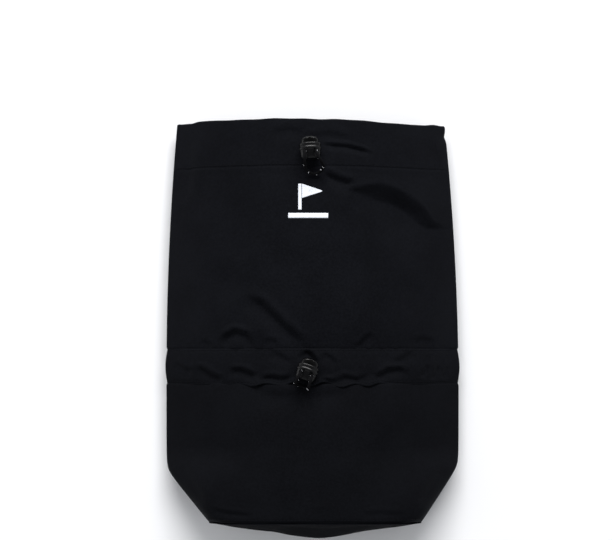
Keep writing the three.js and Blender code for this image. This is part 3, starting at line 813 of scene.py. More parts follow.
def surface_normal(side, across, y, inset):
    step = 0.004
    left, right = np.clip(across - step, -1, 1), np.clip(across + step, -1, 1)
    along_x = smooth_point(side, right, y, inset) - smooth_point(side, left, y, inset)
    along_y = smooth_point(side, across, y + 1, inset) - smooth_point(side, across, y - 1, inset)
    normal = np.cross(along_x, along_y) * side
    return normal / np.linalg.norm(normal, axis=-1, keepdims=True)


# ---- Relief of the folded cloth ----

def share_along(x, y, a, b):
    """How far along the way from a to b a point is: 0 level with a, and 1 level with b."""
    return ((x - a[0]) * (b[0] - a[0]) + (y - a[1]) * (b[1] - a[1])) / math.dist(a, b) ** 2


def line_distance(x, y, line):
    """Signed distance from a line that runs left to right, positive towards the mouth."""
    best = np.full(x.shape, np.inf)
    for a, b in zip(line, line[1:]):
        t = np.clip(share_along(x, y, a, b), 0, 1)
        distance = np.hypot(x - mix(a[0], b[0], t), y - mix(a[1], b[1], t))
        above = (b[0] - a[0]) * (y - a[1]) > (b[1] - a[1]) * (x - a[0])
        best = np.where(distance < np.abs(best), np.where(above, distance, -distance), best)
    return best


def end_fade(x, y, line, fade_in, fade_out):
    """1 along the middle of a line, and 0 level with its ends and past them."""
    along = share_along(x, y, line[0], line[-1])
    return smoothstep(along, 0, fade_in) * smoothstep(1 - along, 0, fade_out)


def fold_relief(x, y, folds):
    """Valleys with a raised lip on their steep side, fading out towards both ends."""
    relief = np.zeros(x.shape)
    for line, width, depth in folds:
        distance = line_distance(x, y, line)
        valley = np.where(distance > 0, bell(distance, width), bell(distance, FOLD_SLOW_SIDE * width))
        lip = bell(distance - FOLD_LIP_PLACE * width, FOLD_LIP_SPREAD * width)
        relief += end_fade(x, y, line, FOLD_FADE, FOLD_FADE) * depth * (FOLD_LIP * lip - valley)
    return relief


def flank_relief(x, y, flanks):
    """Broad folds: an even flank from a ridge down to its valley, which climbs back slowly."""
    relief = np.zeros(x.shape)
    for line, width, depth in flanks:
        distance = line_distance(x, y, line) + FLANK_WANDER * soft_waves(x, y, seed=41, wavelength=26)
        fade = end_fade(x, y, line, FLANK_FADE_IN, FLANK_FADE_OUT)
        wide = width * mix(FLANK_TIP_WIDTH, 1, fade)
        flank = (smoothstep(-distance, -wide, 0) + np.clip(1 - distance / wide, 0, 1)) / 2
        slow = np.exp(np.minimum(0, distance) / (FLANK_CLIMB * wide))
        past_ridge = np.exp(-np.maximum(0, distance - wide) / (FLANK_LIP_REACH * wide))
        lip = FLANK_LIP * past_ridge * (1 - flank) * (distance > 0)
        relief += fade ** FLANK_FADE_POWER * depth * (lip - np.where(distance > 0, flank, slow))
    return relief


def soft_waves(x, y, seed, wavelength, count=7):
    """Smooth, repeatable unevenness of about unit height."""
    rng = np.random.default_rng(seed)
    total = np.zeros(np.broadcast(x, y).shape)
    for _ in range(count):
        angle = rng.uniform(0, 2 * np.pi)
        length = wavelength * rng.uniform(0.7, 1.5)
        phase = rng.uniform(0, 2 * np.pi)
        total += np.sin(2 * np.pi * (x * np.cos(angle) + y * np.sin(angle)) / length + phase)
    return total / math.sqrt(count)


def gathers(x, seed, spacing):
    """Irregular pleats across x, with sharp valleys, from -1 to about 0.5."""
    drift = GATHER_DRIFT * soft_waves(x, 0, seed, 7 * spacing, 5)
    size = GATHER_SIZE + GATHER_SIZE_CHANGE * soft_waves(x, 0, seed + 1, 5 * spacing, 5)
    valley = np.abs(np.cos(np.pi * x / spacing + drift / 2)) ** GATHER_SHARPNESS
    return np.clip(size, 0, 1.4) * (GATHER_TOP - GATHER_DEPTH * valley)


def seam_puckers(x, y, puckers):
    """Short pleats that die away on both sides of the sewn lines across the bag."""
    return sum(height * gathers(x, seed, spacing) * np.exp(-np.abs(y - seam_y) / reach)
               for height, seam_y, seed, spacing, reach in puckers)


def front_relief(x, y):
    """How far the front panels stand out of the smooth surface."""
    relief = fold_relief(x, y, FRONT_FOLDS) + flank_relief(x, y, FRONT_FLANKS)
    relief += sum(height * soft_waves(x, y, seed, wavelength) for height, seed, wavelength in FRONT_SLACK)
    relief += seam_puckers(x, y, FRONT_PUCKERS)
    relief -= sum(depth * bell(y - seam_y, width) for depth, seam_y, width in FRONT_GROOVES)
    return relief - HEM_STEP * smoothstep(HEM_Y - y, 1, 7)


def back_relief(x, y):
    """The back lies flat, so it only creases away from what it rests on."""
    slack = soft_waves(x, y, seed=13, wavelength=70) + seam_puckers(x, y, BACK_PUCKERS)
    return BACK_CREASE * np.minimum(0, slack)


def edge_slack(x):
    """How loose the casing's lower edge hangs: 1 near the lock, and 0 further out."""
    return smoothstep(x - LOOSE_FROM_X, 0, LOOSE_RUN) * smoothstep(LOOSE_TO_X - x, 0, LOOSE_RUN)


def casing_share(y):
    """0 at the casing's lower edge and 1 at its upper edge."""
    return np.clip((y - WAIST_BOTTOM_Y) / (WAIST_TOP_Y - WAIST_BOTTOM_Y), 0, 1)


def casing_relief(x, y):
    """The gathered casing: puffed between its rows of stitches, pleated most near the lock and the sides."""
    from_lock_x = x - LOCKS["mid"]["x"]
    by_lock = PLEATED_BY_LOCK * bell(from_lock_x, PLEATED_LOCK_SPREAD)
    at_sides = PLEATED_AT_SIDES * smoothstep(np.abs(x), PLEATED_SIDES_FROM, PLEATED_SIDES_TO)
    pleating = PLEATED + by_lock + at_sides
    pleats = gathers(x + CASING_PLEAT_LEAN * (y - WAIST_Y), 21, CASING_PLEAT_SPACING)
    puff = np.sin(np.pi * casing_share(y)) ** 0.8 * (CASING_PUFF + CASING_PLEAT * pleating * pleats)
    near_edge = smoothstep(WAIST_BOTTOM_Y + CASING_OVERHANG_REACH - y, 0, CASING_OVERHANG_REACH)
    pressed = 1 - LOCK_PRESS * bell(from_lock_x, LOCK_PRESS_SPREAD)
    hang = CASING_OVERHANG + CASING_OVERHANG_WAVE * soft_waves(x, 0, seed=22, wavelength=30)
    slack = edge_slack(x)
    tight = 1 - slack
    tuck = bell(WAIST_TOP_Y - y, CASING_TUCK_REACH) + tight * bell(y - WAIST_BOTTOM_Y, CASING_TUCK_REACH)
    return puff + fold_relief(x, y, CASING_FOLDS) + near_edge * slack * pressed * hang - CASING_TUCK * tuck


def back_casing_relief(x, y):
    return BACK_CASING_PLEAT * np.minimum(0, gathers(x + 0 * y, 23, 9.5))


RELIEF = {
    ("panel", FRONT): front_relief, ("panel", BACK): back_relief,
    ("casing", FRONT): casing_relief, ("casing", BACK): back_casing_relief,
}


# ---- The finished cloth ----

def mouth_drop(side, across):
    """How far the mouth edge hangs back from straight: more to the right, and at the left corner."""
    corner = bell(across - 0.93, 0.05)
    right = MOUTH_RIGHT_DROP * smoothstep(across, -0.1, 0.9) - MOUTH_RIGHT_CORNER_RISE * corner
    left = MOUTH_LEFT_CORNER_DROP * smoothstep(-across, 0.84, 0.9)
    ripple = sum(height * np.sin(waves * across + phase) for height, waves, phase in MOUTH_RIPPLES)
    share = 1 if side == FRONT else MOUTH_BACK_SHARE
    return share * (right + left) + ripple * (1 - across ** 2) + MOUTH_DROP


def mouth_pinch(across, y):
    """The right side seam draws in just below the corner of the mouth."""
    return -MOUTH_PINCH * np.maximum(0, across) ** 20 * bell(MOUTH_Y - MOUTH_PINCH_BELOW - y, 4)


def casing_side_push(across, y):
    """The casing bulges past the side seams between its two rows of stitches."""
    bulge = CASING_SIDE_BULGE * np.sin(np.pi * casing_share(y)) - CASING_SIDE_TUCK
    return np.sign(across) * np.abs(across) ** 8 * bulge


def casing_edge_wave(x, y):
    """The lower edge of the gathered casing wanders up and down, most near the lock."""
    near_edge = smoothstep(WAIST_BOTTOM_Y + 8 - y, 0, 8)
    return near_edge * (0.2 + CASING_EDGE_WAVE * edge_slack(x)) * soft_waves(x, 0, 24, 24, 4)


def cloth_point(side, across, y, inset=0.0, lift=0.0, kind="panel", relief_share=1.0):
    """Points of the finished cloth, folds included. lift is how far above the cloth they lie."""
    across, y, inset = np.broadcast_arrays(*(np.asarray(value, float) for value in (across, y, inset)))
    hung_y = y - mouth_drop(side, across) * smoothstep(y, MOUTH_DROP_FROM_Y, MOUTH_Y)
    point = smooth_point(side, across, hung_y, inset)
    normal = surface_normal(side, across, hung_y, inset)
    seam_fade = 1 - np.abs(across) ** SEAM_FADE_POWER
    relief = RELIEF[kind, side](point[..., 0], y) * seam_fade * relief_share
    placed = point + normal * (relief + lift)[..., None]
    placed[..., 0] += mouth_pinch(across, y)
    if kind == "casing":
        placed[..., 0] += casing_side_push(across, y)
        placed[..., 1] += casing_edge_wave(point[..., 0], y)
    placed[..., 2] = np.maximum(placed[..., 2], 0)
    return placed


def across_steps():
    count = round(2.3 * HALF_WIDTH / GRID)
    return np.linspace(-1, 1, count + 1)


def steps_between(start, end, spacing=GRID):
    return np.linspace(start, end, max(2, round(abs(end - start) / spacing) + 1))


def closer_rows(rows, line_y):
    """Adds rows beside a sewn line, where the cloth bends sharply."""
    beside = np.array(SEAM_ROWS)
    kept = rows[np.abs(rows - line_y) > SEAM_ROWS_REACH]
    return np.sort(np.concatenate([kept, line_y - beside, [line_y], line_y + beside]))


def waist_dip(y):
    """How deep a panel lies under the waist casing at y."""
    to_edge = np.minimum(WAIST_TOP_Y - y, y - WAIST_BOTTOM_Y) + UNDER_CASING_MARGIN
    return TUNNEL * smoothstep(to_edge, 0, UNDER_CASING_RUN)


def upper_path():
    """From the waist seam up to the mouth, over, and back down inside as the hem."""
    turn_y = MOUTH_Y - MOUTH_TURN_RADIUS
    path = [(y, waist_dip(y), 1) for y in closer_rows(steps_between(WAIST_Y + 0.2, turn_y), HEM_Y)]
    for angle in np.linspace(0, math.pi, 7)[1:]:
        over = turn_y + MOUTH_TURN_RADIUS * math.sin(angle)
        path.append((over, MOUTH_TURN_RADIUS * (1 - math.cos(angle)), 1 - angle / math.pi))
    for y in steps_between(turn_y, HEM_Y + 0.5)[1:]:
        depth = mix(HEM_GAP, TUNNEL, smoothstep(MOUTH_Y - y, 4, 22))
        path.append((y, mix(CLOTH + 0.4, depth, smoothstep(y, HEM_Y, HEM_Y + 7)), 0.0))
    return path


def lower_path():
    return [(y, waist_dip(y), 1) for y in steps_between(WAIST_Y - 0.2, BASE_Y)]


def casing_path():
    return [(y, 0, 1) for y in steps_between(WAIST_TOP_Y, WAIST_BOTTOM_Y - CASING_EDGE_ROOM, CASING_GRID)]


def cloth_piece(name, side, path, material, replaces):
    """A sheet that runs from seam to seam, along a path of [y, inset, relief share] points."""
    kind = "casing" if material == "casing" else "panel"
    across = across_steps()
    y, inset, share = np.hsplit(np.array(path, float), 3)
    points = cloth_point(side, across[None, :], y, inset, kind=kind, relief_share=share)
    upward = y[1, 0] > y[0, 0]
    faces = grid_faces(len(path), len(across), flip=upward == (side == FRONT))
    piece = make_piece(name, points.reshape(-1, 3), faces, material, replaces=replaces)
    thicken(piece)
    return piece


def add_panels():
    for side, word in SIDES:
        upper = cloth_piece(f"{word}_upper_cloth", side, upper_path(), "upper", [f"{word}_upper_panel"])
        lower = cloth_piece(f"{word}_lower_cloth", side, lower_path(), "lower", [f"{word}_lower_panel"])
        casing = cloth_piece(f"{word}_waist_casing", side, casing_path(), "casing", [f"mid_casing_{word}"])


def base_rim(across):
    """The edge of the base panel, once round: along the front seam, and back along the back seam."""
    tucked = BASE_SEAM_DIP * (1 - np.abs(across[:-1]) ** SEAM_FADE_POWER)
    front = smooth_point(FRONT, across[:-1], BASE_Y, tucked)
    back = smooth_point(BACK, across[::-1][:-1], BASE_Y, 0.0)
    return np.concatenate([front, back])


def add_base():
    """The base panel, bulged to a blunt point by what the bag holds, with slack creases near its corners."""
    rim = base_rim(across_steps())
    shares = np.linspace(0.02, 1, BASE_RINGS)[:, None]
    x = mix(BASE_TIP_X, rim[None, :, 0], shares)
    z = mix(BASE_TIP_Z, rim[None, :, 2], shares)
    blunt = np.hypot(shares, BASE_TIP_ROUNDING) - BASE_TIP_ROUNDING
    fall = mix(smoothstep(shares, 0, 1), blunt, BASE_STRAIGHT_SHARE)
    bulge = (BASE_Y - BASE_TIP_Y - 1) * (1 - fall)
    slack = BASE_SLACK * soft_waves(x, 2.2 * z, seed=31, wavelength=60)
    slack = slack + BASE_FOLD_SHARE * fold_relief(x, z, BASE_FOLDS)
    y = BASE_Y - bulge - slack * (1 - shares ** 8)
    faces = ring_faces(BASE_RINGS, len(rim), closed_ends=False)
    faces.append(tuple(range(len(rim)))[::-1])
    points = np.stack([x, y, z], axis=-1).reshape(-1, 3)
    piece = make_piece("base_cloth", points, faces, "base", replaces=["base_panel"])
    flip_outward(piece)
    thicken(piece)


# ---- Lines and rings of points ----

def travelled(line):
    """How far along a line each of its points is."""
    return np.concatenate([[0], np.cumsum(np.linalg.norm(np.diff(line, axis=0), axis=1))])


def points_at(line, along):
    """Points of a line, by how far along it they are."""
    return np.stack([np.interp(along, travelled(line), line[:, k]) for k in range(3)], axis=-1)


def even_spaced(line, spacing):
    """The line with points an even spacing apart, and how far along it each one is."""
    length = travelled(line)[-1]
    along = np.linspace(0, length, max(2, round(length / spacing)) + 1)
    return points_at(line, along), along


def whole_turn(count):
    """Angles an even step apart, once round."""
    return 2 * np.pi * np.arange(count) / count


def ring_round(point, frame_here, angles, radius):
    """Points round a line's own point, in the plane of two directions."""
    a, b = frame_here
    return point + radius * (np.cos(angles)[:, None] * a + np.sin(angles)[:, None] * b)


# ---- Stitching ----

def stitch_points(at):
    """One short thread through the points given, which dives in at both ends."""
    along = (at[-1] - at[0]) / np.linalg.norm(at[-1] - at[0])
    sideways = np.cross(along, (0, 0, 1))
    sideways /= np.linalg.norm(sideways)
    up = np.cross(sideways, along)
    ring = ring_round(0, (STITCH_FLATNESS * sideways, up), whole_turn(STITCH_SIDES), 1)
    return [point + STITCH_RADIUS * (size * ring + rise * up)
            for point, (_, size, rise) in zip(at, STITCH_PROFILE)]


def stitch_row(name, line):
    """A row of lock stitches along a line of points."""
    places = np.array([share + 0.5 for share, _, _ in STITCH_PROFILE]) * STITCH_LENGTH
    points, faces = [], []
    for start in np.arange(FIRST_STITCH, travelled(line)[-1] - STITCH_LENGTH, STITCH_PITCH):
        offset = len(points) * STITCH_SIDES
        points += stitch_points(points_at(line, start + places))
        faces += [tuple(offset + v for v in face) for face in ring_faces(len(STITCH_PROFILE), STITCH_SIDES)]
    return make_piece(name, np.concatenate(points), faces, "thread")


def surface_line(side, y, kind="panel"):
    across = np.linspace(-0.985, 0.985, 320)
    return cloth_point(side, across, y, lift=STITCH_LIFT[side], kind=kind)


def add_stitching():
    for side, word in SIDES:
        stitch_row(f"{word}_hem_stitches", surface_line(side, HEM_STITCHES_Y))
        for edge, y in CASING_STITCHES_Y.items():
            stitch_row(f"{word}_casing_{edge}_stitches", surface_line(side, y, "casing"))
    seam_line = smooth_point(FRONT, np.linspace(-0.96, 0.96, 240), BASE_STITCHES_Y, 0.0)
    seam_line[:, 2] += BASE_STITCH_LIFT
    stitch_row("base_seam_stitches", seam_line)


# ---- Seam tapes inside ----

def add_side_tapes():
    """Tapes folded over the raw edges inside, level with the side seams."""
    y = steps_between(SIDE_TAPE_FROM_Y, SIDE_TAPE_TO_Y, SIDE_TAPE_STEP)
    inner = half_width(y) - SIDE_GAIN * (waist_dip(y) + CLOTH)
    for hand, word in ((-1, "left"), (1, "right")):
        rings = [np.stack([hand * (inner - away), y, seam_height(y) + rise], axis=-1)
                 for away, rise in SIDE_TAPE_OUTLINE]
        points = np.stack(rings, axis=1).reshape(-1, 3)
        faces = ring_faces(len(y), len(SIDE_TAPE_OUTLINE))
        node = f"{word}_side_binding"
        make_piece(f"{word}_side_tape", points, faces, "tape", replaces=[node])


def add_base_tapes():
    """Tapes inside, along the front and back seams of the base."""
    y = steps_between(BASE_Y + BASE_TAPE_FROM, BASE_Y + BASE_TAPE_TO, BASE_TAPE_STEP)
    across = np.linspace(-0.98, 0.98, 90)
    for side, word in SIDES:
        points = smooth_point(side, across[None, :], y[:, None], BASE_TAPE_INSET).reshape(-1, 3)
        faces = grid_faces(len(y), len(across), flip=side == FRONT)
        node = f"base_binding_{word}"
        piece = make_piece(f"{word}_base_tape", points, faces, "tape", replaces=[node])
        thicken(piece, TAPE)


# ---- Cords ----

def curve_through(points, per_span):
    """A centripetal Catmull-Rom curve through the points, as the frame's cords follow."""
    points = [np.array(p, float) for p in points]
    padded = [2 * points[0] - points[1], *points, 2 * points[-1] - points[-2]]
    result = []
    for p0, p1, p2, p3 in zip(padded, padded[1:], padded[2:], padded[3:]):
        d0, d1, d2 = (max(np.linalg.norm(b - a) ** 0.5, 1e-4) for a, b in ((p0, p1), (p1, p2), (p2, p3)))
        start = ((p1 - p0) / d0 - (p2 - p0) / (d0 + d1) + (p2 - p1) / d1) * d1
        end = ((p2 - p1) / d1 - (p3 - p1) / (d1 + d2) + (p3 - p2) / d2) * d1
        for t in np.linspace(0, 1, per_span, endpoint=False):
            a, b = 2 * t ** 3 - 3 * t ** 2 + 1, t ** 3 - 2 * t ** 2 + t
            c, d = -2 * t ** 3 + 3 * t ** 2, t ** 3 - t ** 2
            result.append(a * p1 + b * start + c * p2 + d * end)
    result.append(points[-1])
    return np.array(result)


def cord_frames(line):
    """Two directions across the cord at each point, carried along without twisting."""
    tangents = np.gradient(line, axis=0)
    tangents /= np.linalg.norm(tangents, axis=1, keepdims=True)
    first = np.cross(tangents[0], (0.3, 1, 0.2))
    frames = []
    for tangent in tangents:
        first = first - tangent * first.dot(tangent)
        first /= np.linalg.norm(first)
        frames.append((first, np.cross(tangent, first)))
    return frames


def braid_radius(angle, along):
    """The radius of a round braid: two sets of strands that wind opposite ways, over and under."""
    one = np.cos(BRAID_STRANDS / 2 * (angle + 2 * np.pi * along / BRAID_PITCH))
    other = np.cos(BRAID_STRANDS / 2 * (angle - 2 * np.pi * along / BRAID_PITCH))
    return CORD_DIAMETER / 2 - BRAID_RELIEF + BRAID_RELIEF * np.maximum(one, other)


def braided_tube(line, spacing, sides):
    """A braided cord's points and faces, and the evenly spaced line down its middle."""
    line, along = even_spaced(line, spacing)
    angles = whole_turn(sides)
    points = [ring_round(point, here, angles, braid_radius(angles, distance)[:, None])
              for point, distance, here in zip(line, along, cord_frames(line))]
    return np.concatenate(points), ring_faces(len(line), sides), line


def fleck_points(line, frames, number, start):
    """One dash of yarn: a slightly domed grid that winds with the braid, and its root inside the cord."""
    hand = 1 if number % 2 else -1
    points = []
    for depth, edge_depth in ((FLECK_RISE, FLECK_EDGE_RISE), (FLECK_ROOT, FLECK_ROOT)):
        for i in range(FLECK_ROWS):
            index = min(round(start / FLECK_STEP) + i, len(line) - 1)
            taper = math.sin(math.pi * (i + 0.5) / FLECK_ROWS) ** 0.5
            wound = 2.4 * number + hand * 2 * np.pi * i * FLECK_STEP / BRAID_PITCH
            angles = wound + np.array([-1, 0, 1]) * FLECK_SPREAD * taper
            radii = CORD_DIAMETER / 2 + np.array([edge_depth, depth, edge_depth])
            points += [*ring_round(line[index], frames[index], angles, radii[:, None])]
    return points


def flecks(line, name):
    """Reflective yarn that surfaces in the braid as short dashes, on alternating sides."""
    line, along = even_spaced(line, FLECK_STEP)
    frames = cord_frames(line)
    points, faces = [], []
    for number, start in enumerate(np.arange(FLECK_MARGIN, along[-1] - FLECK_MARGIN, FLECK_SPACING)):
        faces += [tuple(len(points) + v for v in face) for face in slab_faces(FLECK_ROWS, FLECK_COLUMNS)]
        points += fleck_points(line, frames, number, start)
    piece = make_piece(name, points, faces, "yarn")
    recalculate_normals(piece)
    return piece


def from_lock(word, points):
    """Points of a lock's own frame, in the bag's frame."""
    place = LOCKS[word]
    points = np.asarray(points, float)
    c, s = math.cos(place["turn"]), math.sin(place["turn"])
    x = place["x"] + c * points[..., 0] - s * points[..., 1]
    y = place["y"] + s * points[..., 0] + c * points[..., 1]
    return np.stack([x, y, place["z"] + points[..., 2]], axis=-1)


def add_loop(word):
    """A cord's free loop, from one eyelet up through the lock, and round and down to the other eyelet."""
    loop = LOOPS[word]
    left_start = [(-x, y, z) for x, y, z in STRAND_START]
    whole = left_start + loop["left"] + [loop["tip"]] + loop["right"][::-1] + STRAND_START[::-1]
    line = curve_through(from_lock(word, whole), 12)
    points, faces, path = braided_tube(line, CORD_STEP, CORD_SIDES)
    node = f"{word}_cord_loop"
    piece = make_piece(f"{word}_loop", points, faces, "cord", replaces=[node])
    dashes = flecks(line, f"{word}_loop_flecks")


def held_cord_points(word):
    """The cord's way round the bag inside its casing, from beside one strand of its lock to the other."""
    place = LOCKS[word]
    start_out = STRAND_X * math.cos(place["turn"]) + CORD_DIAMETER / 2 + HELD_CORD_GAP
    spread = STRAND_X * math.sin(place["turn"])
    reach = half_width(place["y"])
    halves = []
    for hand in (-1, 1):
        x, y = place["x"] + hand * start_out, place["y"] + hand * spread
        near = [smooth_point(FRONT, (x + hand * along) / reach, y, CORD_INSET) for along in (0, 8)]
        front = [smooth_point(FRONT, hand * out, place["y"], CORD_INSET) for out in FRONT_CORD_STOPS]
        corner = smooth_point(FRONT, hand, place["y"], CORD_INSET) + (hand * 0.5, 0, 0)
        back = [smooth_point(BACK, hand * out, place["y"], CORD_INSET) for out in BACK_CORD_STOPS]
        halves.append([*near, *front, corner, *back])
    return [*halves[0], smooth_point(BACK, 0.0, place["y"], CORD_INSET), *halves[1][::-1]]


def add_held_cord(word):
    line = curve_through(held_cord_points(word), 14)
    points, faces, _ = braided_tube(line, HELD_CORD_STEP, HELD_CORD_SIDES)
    node = f"{word}_cord_drawcord"
    make_piece(f"{word}_held_cord", points, faces, "cord", replaces=[node])


# ---- Eyelets, locks and springs ----

def lathe(outline, sides=48):
    """A closed ring from an outline of [radius, height] points."""
    points = []
    for k in range(sides):
        angle = 2 * math.pi * k / sides
        points += [(r * math.cos(angle), r * math.sin(angle), z) for r, z in outline]
    size = len(outline)
    faces = []
    for k in range(sides):
        for j in range(size):
            a, b = k * size + j, k * size + (j + 1) % size
            c, d = (k + 1) % sides * size + j, (k + 1) % sides * size + (j + 1) % size
            faces.append((a, c, d, b))
    return np.array(points), faces


def add_eyelets(word):
    for hand, x in (("left", -STRAND_X), ("right", STRAND_X)):
        for part, outline in (("eyelet", EYELET_OUTLINE), ("washer", WASHER_OUTLINE)):
            points, faces = lathe(outline)
            placed = from_lock(word, points + (x, 0, 0))
            node = f"{word}_{part}_{hand}"
            make_piece(f"{node}_metal", placed, faces, "eyelet", replaces=[node])


def squared(value):
    return math.copysign(abs(value) ** LOCK_SQUARENESS, value)


def oval_stack(levels):
    """Oval rings along the lock's axis. Each level: how far along, half width, half depth and arch."""
    points = []
    for at, wide, deep, arch in levels:
        for k in range(LOCK_SIDES):
            angle = 2 * math.pi * k / LOCK_SIDES
            c, s = math.cos(angle), math.sin(angle)
            points.append((wide * squared(c), at + arch * s * s, LOCK_RISE + deep * squared(s)))
    return np.array(points), ring_faces(len(levels), LOCK_SIDES)


def arc(x, y, half_width_here, height, start, end, count):
    """Points of part of an ellipse, from one angle to another."""
    angles = np.linspace(start, end, count)
    return [(x + half_width_here * math.cos(a), y + height * math.sin(a)) for a in angles]


def strand_slot(x):
    """The outline of a plunger's slot: a strand's hole, drawn out by as much as the plunger travels."""
    far_end = arc(x, PRESS_TRAVEL, STRAND_HOLE, STRAND_HOLE, 0, np.pi, 12)
    return far_end + arc(x, 0, STRAND_HOLE, STRAND_HOLE, np.pi, 2 * np.pi, 12)


def prism(word, outline, z_low=CUT_LOW, z_high=CUT_HIGH):
    """A straight-sided cutter from an outline of [x, y] points in a lock's frame."""
    points = [(x, y, z) for z in (z_low, z_high) for x, y in outline]
    return from_lock(word, points), ring_faces(2, len(outline))


def cut(piece, cutters):
    """Cuts closed solids, given as points and faces in the bag's frame, out of a piece."""
    tools = []
    for points, faces in cutters:
        tool = new_object("cutter", new_mesh("cutter", points, faces))
        recalculate_normals(tool)
        modifier = piece.modifiers.new("cut", "BOOLEAN")
        modifier.operation = "DIFFERENCE"
        modifier.solver = "EXACT"
        modifier.object = tool
        tools.append(tool)
    apply_modifiers(piece)
    for tool in tools:
        bpy.data.objects.remove(tool)


def finish_moulding(piece, bevel):
    """Rounds a moulded part's sharp edges and shades it smooth up to them."""
    rounding = piece.modifiers.new("edges", "BEVEL")
    rounding.width = bevel * MM
    rounding.segments = 2
    rounding.limit_method = "ANGLE"
    rounding.angle_limit = math.radians(50)
    rounding.harden_normals = False
    apply_modifiers(piece)
    mesh = piece.data
    mesh.polygons.foreach_set("use_smooth", [True] * len(mesh.polygons))
    mesh.set_sharp_from_angle(angle=math.radians(38))


def moulding(word, part, body, levels, material, bevel, cutters):
    """A part of a lock, on one of the lock's two bodies: ovals along its axis, less the cutters."""
    points, faces = oval_stack(levels)
    placed, node = from_lock(word, points), f"{word}_lock_{part}"
    piece = make_piece(f"{word}_{part}", placed, faces, material, f"{word}_{body}", [node])
    recalculate_normals(piece)
    cut(piece, cutters)
    finish_moulding(piece, bevel)


def add_barrel(word):
    """The lock's outer part: hollow, with a hole through it for each strand."""
    points, faces = oval_stack(CAVITY_LEVELS)
    cutters = [(from_lock(word, points), faces)]
    for x in (-STRAND_X, STRAND_X):
        circle = arc(x, 0, STRAND_HOLE, STRAND_HOLE, 0, 2 * np.pi, 41)[:-1]
        cutters.append(prism(word, circle))
    moulding(word, "barrel", "lock", BARREL_LEVELS, "plastic", BARREL_BEVEL, cutters)


def add_plunger(word):
    """The lock's button: a slot for each strand, a thumb recess on both faces and a pocket for the spring."""
    cutters = [prism(word, strand_slot(x)) for x in (-STRAND_X, STRAND_X)]
    thumb = arc(0, THUMB_START, THUMB_HALF_WIDTH, THUMB_LENGTH, 0, np.pi, 28)
    cutters.append(prism(word, thumb, LOCK_RISE + THUMB_HALF_WEB, CUT_HIGH))
    cutters.append(prism(word, thumb, CUT_LOW, LOCK_RISE - THUMB_HALF_WEB))
    upright, faces = lathe(POCKET_OUTLINE, 32)
    pocket = np.stack([upright[:, 0], upright[:, 2], LOCK_RISE + upright[:, 1]], axis=-1)
    cutters.append((from_lock(word, pocket), faces))
    moulding(word, "plunger", "plunger", PLUNGER_LEVELS, "button", PLUNGER_BEVEL, cutters)


def add_spring(word):
    """A coil spring from the barrel's floor to the plunger's pocket."""
    bottom, top = LOCK_FLOOR + 2 * SPRING_WIRE, POCKET_TOP - 2 * SPRING_WIRE
    angles = np.linspace(0, 2 * np.pi * SPRING_TURNS, SPRING_STEPS)
    heights = np.linspace(bottom, top, SPRING_STEPS)
    coil = [SPRING_RADIUS * np.cos(angles), heights, LOCK_RISE + SPRING_RADIUS * np.sin(angles)]
    line = from_lock(word, np.stack(coil, axis=-1))
    ring = whole_turn(SPRING_SIDES)
    points = [ring_round(point, here, ring, SPRING_WIRE) for point, here in zip(line, cord_frames(line))]
    points, faces = np.concatenate(points), ring_faces(SPRING_STEPS, SPRING_SIDES)
    name, body, node = f"{word}_spring", f"{word}_lock", f"{word}_lock_spring"
    piece = make_piece(name, points, faces, "spring", body, [node])
    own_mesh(piece)


# ---- Printed mark ----

def ink_patch(name, columns, rows):
    """A patch of ink where the frame has one. Some narrow to a tip on the right."""
    (x0, y0, _), (x1, y1, _) = low(name), high(name)
    along, up = np.meshgrid(np.linspace(0, 1, columns), np.linspace(-1, 1, rows))
    half = (y1 - y0) / 2
    x = mix(x0, x1, along)
    y = (y0 + y1) / 2 + up * mix(half, MARK_TIPS.get(name, half), along)
    layers = [cloth_point(FRONT, x / cloth_reach(x, y), y, lift=lift) for lift in (INK_TOP, INK_UNDERSIDE)]
    points = np.concatenate([layer.reshape(-1, 3) for layer in layers])
    faces = slab_faces(rows, columns, flip=True)
    piece = make_piece(f"{name}_print", points, faces, "ink", replaces=[name])
    recalculate_normals(piece)


def add_mark():
    """A pennant on a pole above a plain bar."""
    for name, (columns, rows) in MARK_POINTS.items():
        ink_patch(name, columns, rows)


# ---- Camera, floor and light ----

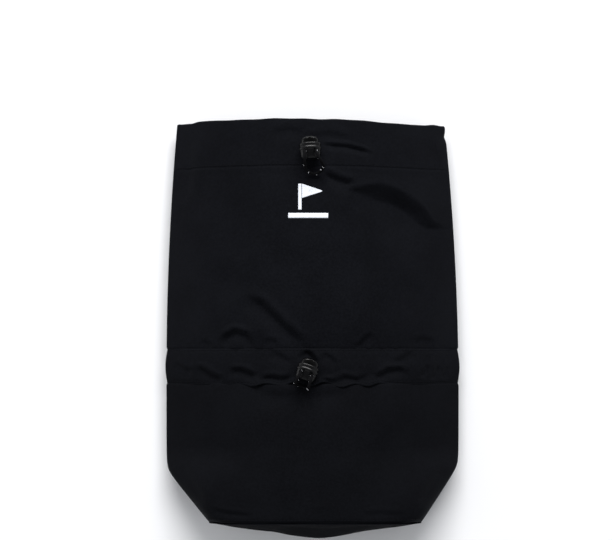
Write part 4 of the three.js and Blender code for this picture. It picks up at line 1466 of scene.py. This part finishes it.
def add_camera():
    data = bpy.data.cameras.new("camera")
    data.sensor_width = SENSOR
    data.lens = SENSOR * CAMERA_DISTANCE / FRAME_WIDTH
    data.clip_end = 20
    camera = new_object("camera", data)
    back_off = CAMERA_DISTANCE * np.array([0, -math.sin(CAMERA_TILT), math.cos(CAMERA_TILT)])
    camera.location = Vector((AIM + back_off) * MM)
    camera.rotation_euler = (CAMERA_TILT, 0, 0)
    bpy.context.scene.camera = camera


def add_floor():
    corners = [(x * FLOOR_HALF, y * FLOOR_HALF, -FLOOR_DROP) for x, y in ((-1, -1), (1, -1), (1, 1), (-1, 1))]
    mesh = new_mesh("floor", corners, [(0, 1, 2, 3)])
    mesh.materials.append(new_material("floor", FLOOR_COLOR, roughness=0.6, specular=0.2))
    new_object("floor", mesh)


def add_lights():
    for name, (place, size, power) in LIGHTS.items():
        data = bpy.data.lights.new(name, "AREA")
        data.shape = "RECTANGLE"
        data.size, data.size_y = size
        data.energy = power
        light = new_object(name, data)
        light.location = place
        light.rotation_euler = (-Vector(place)).to_track_quat("-Z", "Y").to_euler()


def add_studio():
    """Even light from the walls all round, and a darker ceiling."""
    world = bpy.data.worlds.new("studio")
    world.use_nodes = True
    nodes, links = world.node_tree.nodes, world.node_tree.links
    background = nodes["Background"]
    height = nodes.new("ShaderNodeSeparateXYZ")
    ramp = nodes.new("ShaderNodeValToRGB")
    links.new(nodes.new("ShaderNodeTexCoord").outputs["Generated"], height.inputs["Vector"])
    links.new(height.outputs["Z"], ramp.inputs["Fac"])
    links.new(ramp.outputs["Color"], background.inputs["Color"])
    walls, ceiling = ramp.color_ramp.elements
    walls.position, ceiling.position = CEILING_FROM, CEILING_FULL
    walls.color = (*WALLS_COLOR, 1)
    ceiling.color = (*CEILING_COLOR, 1)
    background.inputs["Strength"].default_value = STUDIO_STRENGTH
    bpy.context.scene.world = world
    bpy.context.scene.view_settings.view_transform = "Standard"


add_camera()
for word in LOCKS:
    add_loop(word)
    add_held_cord(word)
    add_eyelets(word)
    add_barrel(word)
    add_plunger(word)
    add_spring(word)
add_panels()
add_base()
add_stitching()
add_side_tapes()
add_base_tapes()
add_mark()
add_floor()
add_lights()
add_studio()
